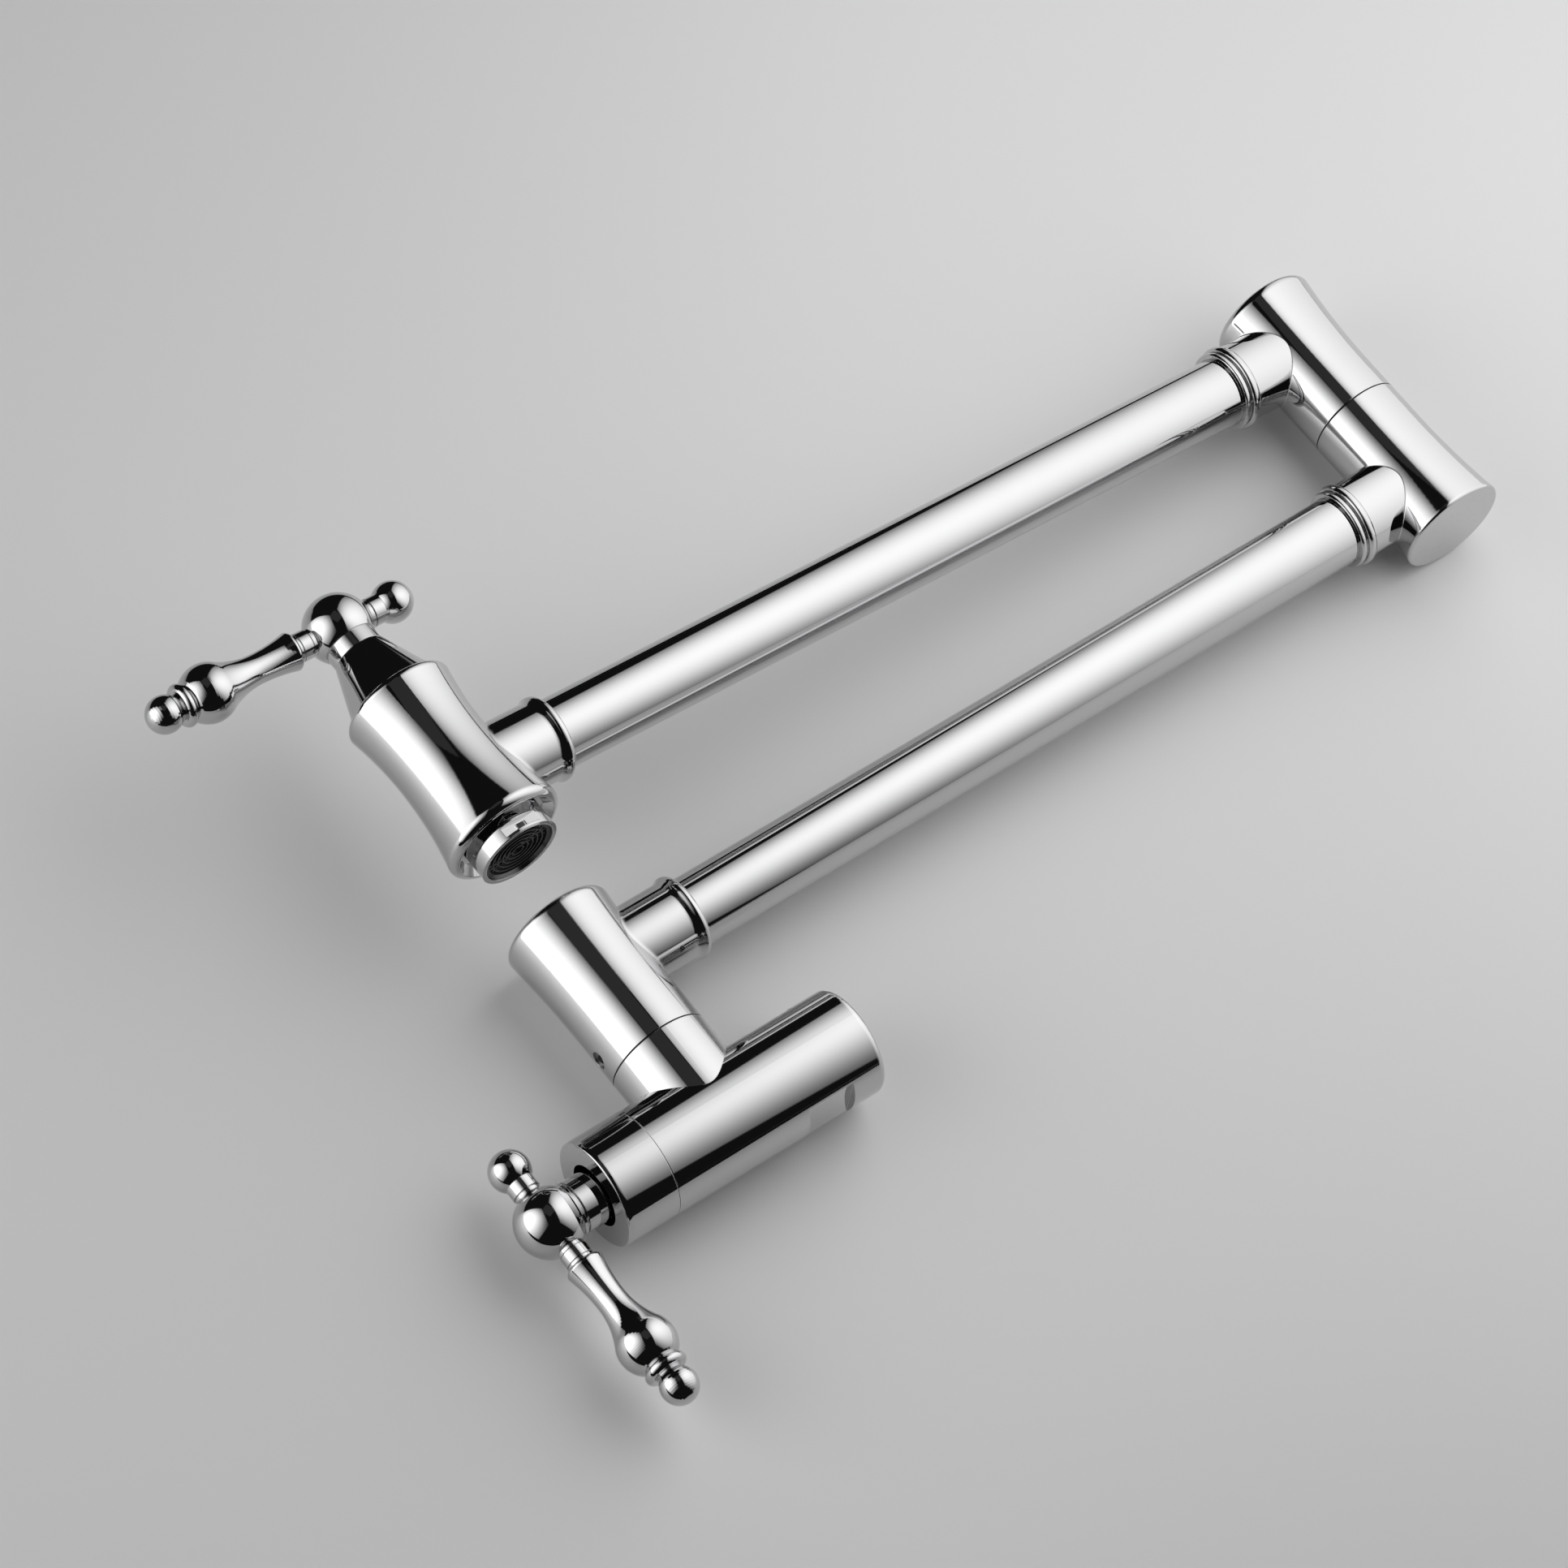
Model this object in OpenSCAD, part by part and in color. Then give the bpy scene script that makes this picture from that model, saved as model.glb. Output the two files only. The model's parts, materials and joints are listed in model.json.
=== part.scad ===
// Folding wall spout with two swivel arms and two quarter-turn valves, in millimetres.
// The origin is the centre of the wall face of the inlet valve, +Y points to the wall, +Z is up.
// It is drawn folded: the lower arm lies towards the wall and the upper arm comes back over it.

/* [Inlet valve] */
// Outside diameter of the inlet valve body and its cover
valve_d = 31; // [29:0.5:34]
// Length of the inlet valve from the wall face to the front of the cover
valve_length = 84.3; // [82:0.5:92]
// Length of the screwed front cover
cover_length = 16.3; // [15:0.5:18]
// Distance from the wall face to the axis of the first swivel
stub_y = 45; // [42:0.5:46]
// Diameter of the fixed stub under the first swivel
stub_d = 29.6; // [28:0.2:31]
// Height of the first swivel seam above the valve axis
stub_top_z = 24.9; // [23:0.1:28]
// Diameter of the female wall thread at its crests
inlet_thread_d = 18.64; // [18:0.02:19]
// Depth of the female wall thread
inlet_thread_depth = 15; // [12:0.5:16]
// Length of the two spanner flats near the wall face
flat_length = 14.8; // [8:0.2:18]
// Distance between the two spanner flats
flat_across = 27; // [26:0.2:29]

/* [Arms] */
// Outside diameter of the arm tubes
tube_d = 20; // [19:0.5:20.5]
// Wall thickness of the arm tubes
tube_wall = 1.3; // [1:0.1:1.5]
// Length of the lower arm between its two vertical axes
lower_arm_length = 287; // [200:1:340]
// Length of the upper arm between its two vertical axes
upper_arm_length = 295.4; // [200:1:340]
// Height of the lower tube above the valve axis
lower_tube_z = 54.5; // [53:0.5:60]
// Height of the upper tube above the lower tube
arm_pitch_z = 53; // [50:0.5:60]
// Angle between the two folded arms
fold_angle = 5.6; // [0:0.1:30]

/* [Swivel knuckles] */
// Diameter of the first knuckle at its seam
knuckle_seam_d = 29.6; // [28:0.2:31]
// Diameter of the first knuckle at its closed end
knuckle_end_d = 32.2; // [29:0.2:34]
// Diameter of the elbows at their common seam
elbow_seam_d = 27.6; // [27:0.2:31]
// Diameter of the elbows at their closed ends
elbow_end_d = 31.6; // [28:0.2:34]
// Distance from a tube axis to the closed end of its knuckle
closed_end = 17; // [15:0.5:20]
// Diameter of the sockets that hold the tubes
socket_d = 22.8; // [22.4:0.1:23.4]
// Diameter of the bead round the mouth of a socket
bead_d = 24.6; // [23.8:0.2:26]
// Distance from the first knuckle's axis to the mouth of its socket
knuckle_socket_length = 31; // [28:0.5:34]
// Distance from an elbow's axis to the mouth of its socket
elbow_socket_length = 24; // [22:0.5:30]
// Length of the jam ring that locks a tube into an elbow
jam_ring_length = 5; // [4:0.5:7]

/* [Outlet valve] */
// Height of the outlet handle's ball above the upper tube
outlet_hub_height = 56.9; // [56:0.1:60]
// Diameter of the outlet body at its shoulder
shoulder_d = 32.2; // [31.6:0.2:33]
// Diameter of the outlet body at its waist
waist_d = 28.8; // [28:0.2:29.6]
// Diameter of the outlet body at its lower rim
rim_d = 34.8; // [34:0.2:38]
// Distance from the outlet axis to the mouth of its socket
outlet_socket_length = 29; // [26:0.5:32]
// Outside diameter of the aerator housing
aerator_d = 23.8; // [23.4:0.2:25]

/* [Handles] */
// Diameter of the ball that carries the lever and the knob
hub_d = 19.6; // [19:0.1:21]
// Distance from the ball's centre to the tip of the lever
lever_reach = 61.5; // [57:0.5:70]
// Largest diameter of the lever's bulb
bulb_d = 16.7; // [14:0.1:17]
// Smallest diameter of the lever's shaft
shaft_d = 8.5; // [7:0.1:9.4]
// Diameter of the ball at the lever's tip
tip_ball_d = 10.7; // [9.6:0.1:10.8]
// Diameter of the short knob's ball
knob_ball_d = 11.8; // [10:0.1:12]
// Distance from the ball's centre to the centre of the knob
knob_reach = 17.8; // [17.4:0.1:22]

/* [Fits] */
// Radial gap between a turning shaft and its bore
running_gap = 0.05; // [0.03:0.01:0.08]
// Radial gap between pieces that are screwed or brazed together
fixed_gap = 0.03; // [0.01:0.01:0.05]
// Radial gap between a turning piece and an opening it only passes through
free_gap = 0.3; // [0.25:0.05:0.4]

/* [Hidden] */
$fn = 96;
cut = 1;
mm_eps = 0.01;

valve_r = valve_d / 2;
tube_r = tube_d / 2;
socket_r = socket_d / 2;
bead_r = bead_d / 2;
hub_r = hub_d / 2;
upper_tube_z = lower_tube_z + arm_pitch_z;
seam_2_z = lower_tube_z + arm_pitch_z / 2;
cover_seam_y = cover_length - valve_length;

// Distance of the inlet handle's ball in front of the cover
hub_front_gap = 14.2;
inlet_hub_y = -valve_length - hub_front_gap;
outlet_hub_z = upper_tube_z + outlet_hub_height;

// Wall end of the inlet valve
wall_round = 2;
strainer_r = 9;
strainer_h = 2.6;
strainer_hole_r = 0.8;
strainer_hole_pitch = 2;
strainer_hole_rings = 2;
strainer_floor_h = 1;
strainer_slack = 0.1;
flat_start = 10.8;

// Knuckles, elbows and the sockets' lips
flare_run = 33;
knuckle_round = 2;
lower_elbow_round = 0.9;
upper_elbow_round = 2.6;
lip_length = 4.6;
lip_round = 1.6;
way_above_spigot = 1;

// Jam ring: its second bead and the groove between the two
second_bead_w = 1.8;
second_bead_drop = 0.7;
bead_groove_w = 0.5;
jam_core_r = socket_r - 0.5;
bead_foot_r = tube_r + 0.6;

// Water ways
way_r = 5.5;
chamber_r = 10.5;
knuckle_way_r = 8.5;
outlet_way_r = 4;
tube_stop = 13.2;

// Swivel spigot, measured from the lower face of the knuckle that turns on it
spigot_r = 9;
spigot_screw_r = 8.4;
spigot_above = 18;
spigot_below = 12.5;
spigot_groove_r = 7.7;
spigot_flange_r = 10.4;
flange_top = 0.5;
flange_sink = 0.5;
seam_washer_h = 0.4;
seam_recess = 0.5;
stub_face_z = stub_top_z - seam_washer_h / 2;
tube_seal_section = 1.1;
tube_seal_r = tube_r + 1.2;
tube_seal_room = 1.5;
o_ring_section = 1.8;
o_ring_heights = [10.6, 14.4];
grub_height = 6.5;
grub_r = 2.5;
grub_tip_r = 1.4;
grub_sink = 0.8;
grub_key_across = 2.5;
grub_key_depth = 2;
grub_shank_end = spigot_r + 0.5;
grub_tip_end = spigot_groove_r + 0.4;
spigot_groove_w = 3.4;
o_ring_room = 0.2;

// Cartridge, measured along its axis from the centre of the handle's ball, outwards positive
seat_z = -61;
seat_seal_h = 1.6;
seat_seal_r = 7.6;
disc_r = 6.5;
disc_h = 2.5;
disc_rim = 1.3;
disc_web = 1.2;
cage_r = 7.8;
cage_bore_r = disc_r + running_gap;
piston_r = 5;
piston_z = [-48.6, -42];
piston_lead = 0.9;
screw_z = -44;
body_top_z = -26.6;
cartridge_screw_r = 9.3;
top_seal_section = 1.5;
top_seal_proud = 0.9;
seal_room = 0.1;
seal_ease = 0.02;
hex_across = 16.4;
hex_h = 5;
hex_flange_h = 1;
neck_top_z = -15.4;
neck_r = 5.4;
stem_r = 3.9;
stem_top_z = 4;
thrust_h = 0.8;
thrust_play = 0.1;
blade_w = 2.4;
blade_length = 10.8;
blade_depth = 0.9;
blade_h = 3;
blade_side_gap = 0.1;
blade_end_gap = 0.1;
shank_r = 3;
clip_h = 0.8;
clip_grip = 0.9;
clip_proud = 0.9;
clip_mouth = 3;
clip_ease = 0.05;
stem_seal_section = 1.4;
stem_seal_room = 0.25;
clip_gap = 0.2;
window_w = 7;
window_z = [-53.6, -49.4];
spline_count = 20;
spline_length = 9;
spline_r = 0.3;

// Handle hub
hub_neck_r = 7.5;
hub_neck_end = -13.9;
hub_core_r = 6.8;
hub_skirt_r = 7.9;
hub_skirt_z = -sqrt(hub_r * hub_r - hub_skirt_r * hub_skirt_r);
hub_skirt_h = 0.9;
hub_groove_h = 0.9;
hub_stem_room = 0.2;
stud_r = 2.5;
stud_length = 4.2;
stud_gap = 0.2;
stud_collar_r = 3.9;
stud_collar_h = 1;
hub_seat = sqrt(hub_r * hub_r - stud_collar_r * stud_collar_r);
handle_screw_r = 1.5;
handle_screw_sink = 0.35;
handle_screw_key = 1.5;
handle_screw_key_depth = 1.2;
inlet_screw_z = hub_neck_end + 2.6;
outlet_screw_z = -8.3;

// Lever and knob, along the lever from the ball's centre
collar_r = 4.1;
collar_groove_w = 0.25;
collar_groove_depth = 0.4;
collar_disc_w = 0.9;
shoulder_start = hub_seat + 5.4;
lever_shoulder_r = 5.5;
lever_shoulder_round = 1.2;
bulb_to_tip = 13.9;
waist_to_bulb = 15.7;
bulb_stop = 48;
bead_to_tip = 5.8;
bead_centre_r = 4.6;
bead_round = 1.6;
bead_start_angle = 165;
tip_start_angle = 136;

// Front opening of the inlet cover and its walls
cover_mouth_r = 9.1;
cover_front = 3;
cover_screw_r = 13.6;
cover_crown_r = 5;
cover_crown_angle = 14;
cover_round = 0.5;
cover_seam_gap = 0.15;

// Outlet body heights below the handle's ball
bonnet_top = -10.4;
bonnet_top_r = 7.9;
bonnet_base_r = 13.7;
bonnet_spigot_r = 12.2;
bonnet_spigot_h = 3.2;
bonnet_spigot_room = 0.2;
bonnet_boss_r = 11;
rim_bottom = -77;
outlet_neck_end = bonnet_top + free_gap;
waist_z = -48;
shoulder_round = 2;
rim_round = 2.2;
recess_depth = 2.4;
recess_top_r = 13;
recess_edge = 0.1;

// Aerator, measured along the outlet axis from the centre of the handle's ball
aerator_screw_r = 11.2;
aerator_screw_z = -68.6;
aerator_washer_h = 1.8;
aerator_washer_gap = 0.1;
aerator_washer_bore_r = 6;
aerator_collar_gap = 0.6;
aerator_collar_top = rim_bottom + recess_depth - aerator_collar_gap;
aerator_bottom = -82.6;
aerator_step_z = -79.8;
aerator_wall = 1.3;
aerator_lip_w = 1.3;
aerator_flat_across = 21.1;
aerator_flat_angle = 88;
aerator_lip_h = 0.8;
aerator_flat_low = aerator_bottom + aerator_lip_h;
aerator_flat_h = 3.1;
insert_sink = 0.8;
insert_ridge_w = 0.35;
insert_ridge_pitch = 1.55;
insert_ridge_depth = 0.6;
insert_rings = 5;
insert_hole_r = 0.42;
insert_plenum_z = -74.5;
insert_plenum_wall = 0.6;

// Helpers

// Points of an arc about a centre, from one angle to another
function arc_points(centre, r, from, to, steps) = [
    for (i = [0:steps])
        let (a = from + (to - from) * i / steps)
            centre + r * [cos(a), sin(a)]
];

// Half outline that flares from a waist, given as radius and height, and ends in a rounded edge.
// The hollow arc and the round touch each other, so the surface has no crease.
function flare_points(waist, end, round_r, steps) =
    let (
        way = sign(end[1] - waist[1]),
        rise = end[0] - waist[0],
        run = abs(end[1] - waist[1]) - round_r,
        both_r = (rise * rise + run * run) / (2 * rise),
        hollow_r = both_r - round_r,
        turn = asin(run / both_r)
    )
    concat(
        [for (i = [0:steps])
            let (a = turn * i / steps)
                waist + hollow_r * [1 - cos(a), way * sin(a)]],
        [for (i = [1:steps])
            let (a = -turn + (90 + turn) * i / steps)
                end + round_r * [cos(a) - 1, way * (sin(a) - 1)]]
    );

// Solid ring about Z between two heights
module ring(r_out, r_in, low, high) {
    difference() {
        translate([0, 0, low])
            cylinder(r = r_out, h = high - low);
        translate([0, 0, low - cut])
            cylinder(r = r_in, h = high - low + 2 * cut);
    }
}

// Solid rod about Z between two heights
module rod(r, low, high) {
    translate([0, 0, low])
        cylinder(r = r, h = high - low);
}

// Round seal of one circular section, lying at one height
module o_ring(r_out, section, z) {
    translate([0, 0, z])
        rotate_extrude()
            translate([r_out - section / 2, 0])
                circle(d = section, $fn = 32);
}

// Turns +Z to +X
module along_x() {
    rotate([0, 90, 0])
        children();
}

// Puts a valve's own frame, +Z towards the handle, on the inlet valve
module at_inlet_hub() {
    translate([0, inlet_hub_y, 0])
        rotate([90, 90, 0])
            children();
}

// Puts the lower arm's frame, +X along the arm, on the first swivel
module at_lower_arm() {
    translate([0, -stub_y, 0])
        rotate([0, 0, 90])
            children();
}

// Puts the upper arm's frame, +X from the elbows to the outlet, on the second swivel
module at_upper_arm() {
    at_lower_arm()
        translate([lower_arm_length, 0, 0])
            rotate([0, 0, 180 + fold_angle])
                children();
}

// Puts a valve's own frame on the outlet valve
module at_outlet_hub() {
    at_upper_arm()
        translate([upper_arm_length, 0, outlet_hub_z])
            children();
}

// Knuckles and elbows

// Outside of a knuckle that flares from its seam to its rounded closed end
module knuckle_shell(seam_r, end_r, height, end_round) {
    flare_z = height - flare_run;
    rotate_extrude()
        polygon(concat(
            [[0, 0], [seam_r, 0]],
            flare_points([seam_r, flare_z], [end_r, height], end_round, 16),
            [[0, height]]
        ));
}

// Outside of a tube socket along +X, with a rounded lip if it is wanted
module socket_shell(length, lip) {
    mouth = lip
        ? flare_points([socket_r, length - lip_length], [bead_r, length], lip_round, 8)
        : [[socket_r, length]];
    along_x()
        rotate_extrude()
            polygon(concat([[0, 0], [socket_r, 0]], mouth, [[0, length]]));
}

// Rounded bead about Z, its flat foot on the tube, that stands on z = 0
module bead_ring(outer_r, width) {
    steps = 12;
    height = (outer_r - bead_foot_r) / 2;
    rotate_extrude()
        polygon(concat(
            [[tube_r + fixed_gap, 0]],
            [for (i = [0:steps])
                let (a = -90 + 180 * i / steps)
                    [outer_r - height * (1 - cos(a)), width / 2 * (1 + sin(a))]],
            [[tube_r + fixed_gap, width]]
        ));
}

// Water way and tube bore of a knuckle whose tube axis is at one height above its seam
module knuckle_bores(axis_height, socket_length, seam_bore_r, seam_bore_h) {
    translate([0, 0, -cut])
        cylinder(r = seam_bore_r, h = seam_bore_h + cut);
    rod(knuckle_way_r, seam_bore_h - mm_eps, axis_height + knuckle_way_r);
    translate([0, 0, axis_height])
        along_x() {
            rod(knuckle_way_r, 0, tube_stop);
            rod(tube_r + fixed_gap, tube_stop - mm_eps, socket_length + cut);
        }
}

// Knuckle that turns on a spigot: seam at z = 0, tube along +X
module turning_knuckle(seam_r, end_r, axis_height, socket_length, end_round, lip) {
    difference() {
        union() {
            knuckle_shell(seam_r, end_r, axis_height + closed_end, end_round);
            translate([0, 0, axis_height])
                socket_shell(socket_length, lip);
        }
        knuckle_bores(
            axis_height,
            socket_length,
            spigot_r + running_gap,
            spigot_above + way_above_spigot
        );
        rod(spigot_flange_r + free_gap, -cut, flange_top + free_gap);
        translate([-seam_r - cut, 0, grub_height])
            along_x()
                cylinder(r = grub_r + fixed_gap, h = seam_r - spigot_r + 2 * cut);
    }
}

// Grub screw of a turning knuckle, on the side away from the tube
module knuckle_grub(seam_r) {
    outer = seam_r - grub_sink;
    translate([0, 0, grub_height])
        rotate([0, -90, 0])
            difference() {
                union() {
                    rod(grub_r, grub_shank_end, outer);
                    rod(grub_tip_r, grub_tip_end, grub_shank_end + mm_eps);
                }
                translate([0, 0, outer - grub_key_depth])
                    cylinder(d = grub_key_across / cos(30), h = grub_key_depth + cut, $fn = 6);
            }
}

// Brass spigot that joins two pieces at a seam: screwed in below, smooth and grooved above
module swivel_spigot() {
    half_groove = spigot_groove_w / 2;
    half_room = o_ring_section / 2 + o_ring_room;
    flange_low = -seam_washer_h - flange_sink;
    difference() {
        union() {
            rod(spigot_screw_r, -spigot_below, flange_low + mm_eps);
            rod(spigot_flange_r, flange_low, flange_top);
            rod(spigot_r, flange_top - mm_eps, spigot_above);
        }
        rod(way_r, -spigot_below - cut, spigot_above + cut);
        ring(spigot_r + cut, spigot_groove_r, grub_height - half_groove, grub_height + half_groove);
        for (h = o_ring_heights)
            ring(spigot_r + cut, spigot_r - o_ring_section, h - half_room, h + half_room);
    }
}

module swivel_seals() {
    for (h = o_ring_heights)
        o_ring(spigot_r + running_gap / 2, o_ring_section, h);
}

// Slippery washer under the knuckle, a little smaller than it
module swivel_washer(seam_r) {
    ring(seam_r - seam_recess, spigot_flange_r + fixed_gap, -seam_washer_h, 0);
}

// Arm tube along +X between two stops
module arm_tube(length) {
    along_x()
        ring(tube_r, tube_r - tube_wall, tube_stop + mm_eps, length - tube_stop - mm_eps);
}

// Jam ring with a large and a small bead, its seal face at z = 0
module jam_ring() {
    first_w = jam_ring_length - second_bead_w - bead_groove_w;
    difference() {
        union() {
            rod(jam_core_r, 0, jam_ring_length - mm_eps);
            bead_ring(bead_r, first_w);
            translate([0, 0, first_w + bead_groove_w])
                bead_ring(bead_r - second_bead_drop, second_bead_w);
        }
        rod(tube_r + fixed_gap, -cut, jam_ring_length + cut);
        rod(tube_seal_r + fixed_gap, -cut, tube_seal_room);
    }
}

// Valve parts in the valve's own frame, +Z outwards, z = 0 at the handle's ball

module cartridge_body() {
    hex_r = hex_across / 2 / cos(30);
    difference() {
        union() {
            rod(cage_r, seat_z + seat_seal_h, screw_z + mm_eps);
            rod(cartridge_screw_r, screw_z, body_top_z + mm_eps);
            rod(cartridge_screw_r + top_seal_proud, body_top_z, body_top_z + hex_flange_h);
            translate([0, 0, body_top_z])
                cylinder(r = hex_r, h = hex_h, $fn = 6);
            rod(neck_r, body_top_z + hex_h - mm_eps, neck_top_z);
        }
        rod(cage_bore_r, seat_z, piston_z[0] - piston_lead);
        rod(piston_r + running_gap, seat_z, piston_z[1] + thrust_h + thrust_play);
        rod(stem_r + running_gap, piston_z[1], neck_top_z + cut);
        // Groove of the seal under the flange
        ring(
            cartridge_screw_r + cut,
            cartridge_screw_r + top_seal_proud - top_seal_section - seal_ease,
            body_top_z - top_seal_section - seal_room,
            body_top_z
        );
        for (side = [0, 180])
            rotate([0, 0, side])
                translate([0, -window_w / 2, window_z[0]])
                    cube([cage_r + cut, window_w, window_z[1] - window_z[0]]);
    }
}

module cartridge_ring() {
    o_ring(
        cartridge_screw_r + top_seal_proud,
        top_seal_section,
        body_top_z - (top_seal_section + seal_room) / 2
    );
}

module seat_seal() {
    ring(seat_seal_r, way_r, seat_z, seat_z + seat_seal_h);
}

// Ceramic disc with two quarter openings
module ceramic_disc(low) {
    opening_r = disc_r - disc_rim;
    difference() {
        rod(disc_r, low, low + disc_h);
        for (side = [0, 180])
            rotate([0, 0, side])
                translate([0, 0, low - cut])
                    intersection() {
                        cylinder(r = opening_r, h = disc_h + 2 * cut);
                        translate([disc_web / 2, disc_web / 2, 0])
                            cube([opening_r, opening_r, disc_h + 2 * cut]);
                    }
    }
}

module fixed_disc() {
    ceramic_disc(seat_z + seat_seal_h);
}

module turning_disc() {
    low = seat_z + seat_seal_h + disc_h;
    slot_w = blade_w + 2 * blade_side_gap;
    slot_depth = blade_depth + blade_end_gap;
    difference() {
        rotate([0, 0, 90])
            ceramic_disc(low);
        translate([-disc_r, -slot_w / 2, low + disc_h - slot_depth])
            cube([2 * disc_r, slot_w, slot_depth + cut]);
    }
}

// Stem with its driving blade below, its piston and its splined end
module stem() {
    blade_low = seat_z + seat_seal_h + 2 * disc_h - blade_depth;
    groove_z = (piston_z[0] + piston_z[1]) / 2;
    half_groove = stem_seal_section / 2 + stem_seal_room;
    clip_low = neck_top_z + clip_gap;
    difference() {
        union() {
            translate([-blade_length / 2, -blade_w / 2, blade_low])
                cube([blade_length, blade_w, blade_h]);
            rod(shank_r, blade_low + blade_h - cut, piston_z[0] + mm_eps);
            rod(piston_r, piston_z[0], piston_z[1]);
            rod(stem_r, piston_z[1] - mm_eps, stem_top_z);
        }
        ring(
            piston_r + cut,
            piston_r - stem_seal_section,
            groove_z - half_groove,
            groove_z + half_groove
        );
        ring(stem_r + cut, stem_r - clip_grip, clip_low, clip_low + clip_h + 2 * clip_ease);
        for (i = [0:spline_count - 1])
            rotate([0, 0, 360 * i / spline_count])
                translate([stem_r, 0, stem_top_z - spline_length])
                    cylinder(r = spline_r, h = spline_length + cut, $fn = 4);
    }
}

module stem_seal() {
    o_ring(piston_r + running_gap / 2, stem_seal_section, (piston_z[0] + piston_z[1]) / 2);
}

module thrust_ring() {
    ring(piston_r - running_gap, stem_r + fixed_gap, piston_z[1], piston_z[1] + thrust_h);
}

// Spring clip in the stem's groove, open on one side
module stem_clip() {
    low = neck_top_z + clip_gap + clip_ease;
    difference() {
        ring(stem_r + clip_proud, stem_r - clip_grip + clip_ease, low, low + clip_h);
        translate([0, -clip_mouth / 2, low - cut])
            cube([stem_r + clip_proud + cut, clip_mouth, clip_h + 2 * cut]);
    }
}

// Ball of the handle, with its core, stud seats and stem bore; its neck comes as children
module handle_hub(screw_z) {
    difference() {
        union() {
            intersection() {
                sphere(r = hub_r);
                rod(hub_r, hub_skirt_z, hub_r);
            }
            rod(hub_core_r, hub_neck_end, 0);
            children();
        }
        rod(stem_r + fixed_gap, hub_neck_end - cut, stem_top_z + hub_stem_room);
        for (side = [0, 180])
            rotate([0, 0, side])
                along_x() {
                    rod(stud_r + fixed_gap, hub_seat - stud_length, hub_r);
                    rod(stud_collar_r + fixed_gap, hub_seat, hub_r + cut);
                }
        at_handle_screw(screw_z)
            rod(handle_screw_r + fixed_gap, 0, hub_r);
    }
}

// Turns +Z to the screw that holds the handle on its stem
module at_handle_screw(screw_z) {
    rotate([0, 0, -90])
        translate([0, 0, screw_z])
            along_x()
                children();
}

module handle_screw(screw_z) {
    head = hub_neck_r - handle_screw_sink;
    at_handle_screw(screw_z)
        difference() {
            rod(handle_screw_r, stem_r + fixed_gap, head);
            translate([0, 0, head - handle_screw_key_depth])
                cylinder(
                    d = handle_screw_key / cos(30),
                    h = handle_screw_key_depth + cut,
                    $fn = 6
                );
        }
}

// Half outline of a stud's ring and of the collar after it: distance from the ball, then radius
function collar_outline(collar_end) =
    let (
        ring_end = hub_seat + stud_collar_h,
        groove_end = ring_end + collar_groove_w,
        groove_r = collar_r - collar_groove_depth
    )
    [
        [hub_seat, 0],
        [hub_seat, stud_collar_r],
        [ring_end, stud_collar_r],
        [ring_end, groove_r],
        [groove_end, groove_r],
        [groove_end, collar_r],
        [collar_end, collar_r]
    ];

// Half outline of the lever
function lever_outline() =
    let (
        shaft_r = shaft_d / 2,
        bulb_r = bulb_d / 2,
        tip_r = tip_ball_d / 2,
        tip_c = lever_reach - tip_r,
        bulb_c = tip_c - bulb_to_tip,
        waist_x = bulb_c - waist_to_bulb,
        disc_start = shoulder_start - collar_disc_w,
        groove_start = disc_start - collar_groove_w,
        groove_r = collar_r - collar_groove_depth,
        shoulder_x = shoulder_start + lever_shoulder_round,
        // Flat arc from the shoulder to the waist
        back = waist_x - shoulder_x,
        rise = lever_shoulder_r - shaft_r,
        back_r = (back * back + rise * rise) / (2 * rise),
        back_a = asin(back / back_r),
        // Hollow arc that touches the waist and the bulb
        reach = bulb_c - waist_x,
        arc_r = (reach * reach + shaft_r * shaft_r - bulb_r * bulb_r) / (2 * (bulb_r - shaft_r)),
        touch = atan2(arc_r + shaft_r, reach),
        bead_c = tip_c - bead_to_tip
    )
    concat(
        collar_outline(groove_start),
        [[groove_start, groove_r], [disc_start, groove_r]],
        [[disc_start, collar_r], [shoulder_start, collar_r]],
        arc_points(
            [shoulder_x, lever_shoulder_r - lever_shoulder_round],
            lever_shoulder_round, 180, 90, 8
        ),
        arc_points([waist_x, shaft_r + back_r], back_r, -90 - back_a, -90, 12),
        arc_points([waist_x, shaft_r + arc_r], arc_r, -90, -touch, 14),
        arc_points([bulb_c, 0], bulb_r, 180 - touch, bulb_stop, 18),
        arc_points([bead_c, bead_centre_r], bead_round, bead_start_angle, 0, 12),
        arc_points([tip_c, 0], tip_r, tip_start_angle, 0, 18)
    );

// Stud that holds a lever or knob in the ball
module handle_stud() {
    rod(stud_r, hub_seat - stud_length + stud_gap, hub_seat + mm_eps);
}

// Turned piece about Z from an outline of distances and radii
module turned(outline) {
    rotate_extrude()
        polygon([for (p = outline) [p[1], p[0]]]);
}

module handle_lever() {
    along_x() {
        turned(lever_outline());
        handle_stud();
    }
}

module handle_knob() {
    rotate([0, 0, 180])
        along_x() {
            turned(concat(collar_outline(knob_reach), [[knob_reach, 0]]));
            handle_stud();
            translate([0, 0, knob_reach])
                sphere(d = knob_ball_d);
        }
}

// Inlet valve

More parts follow.
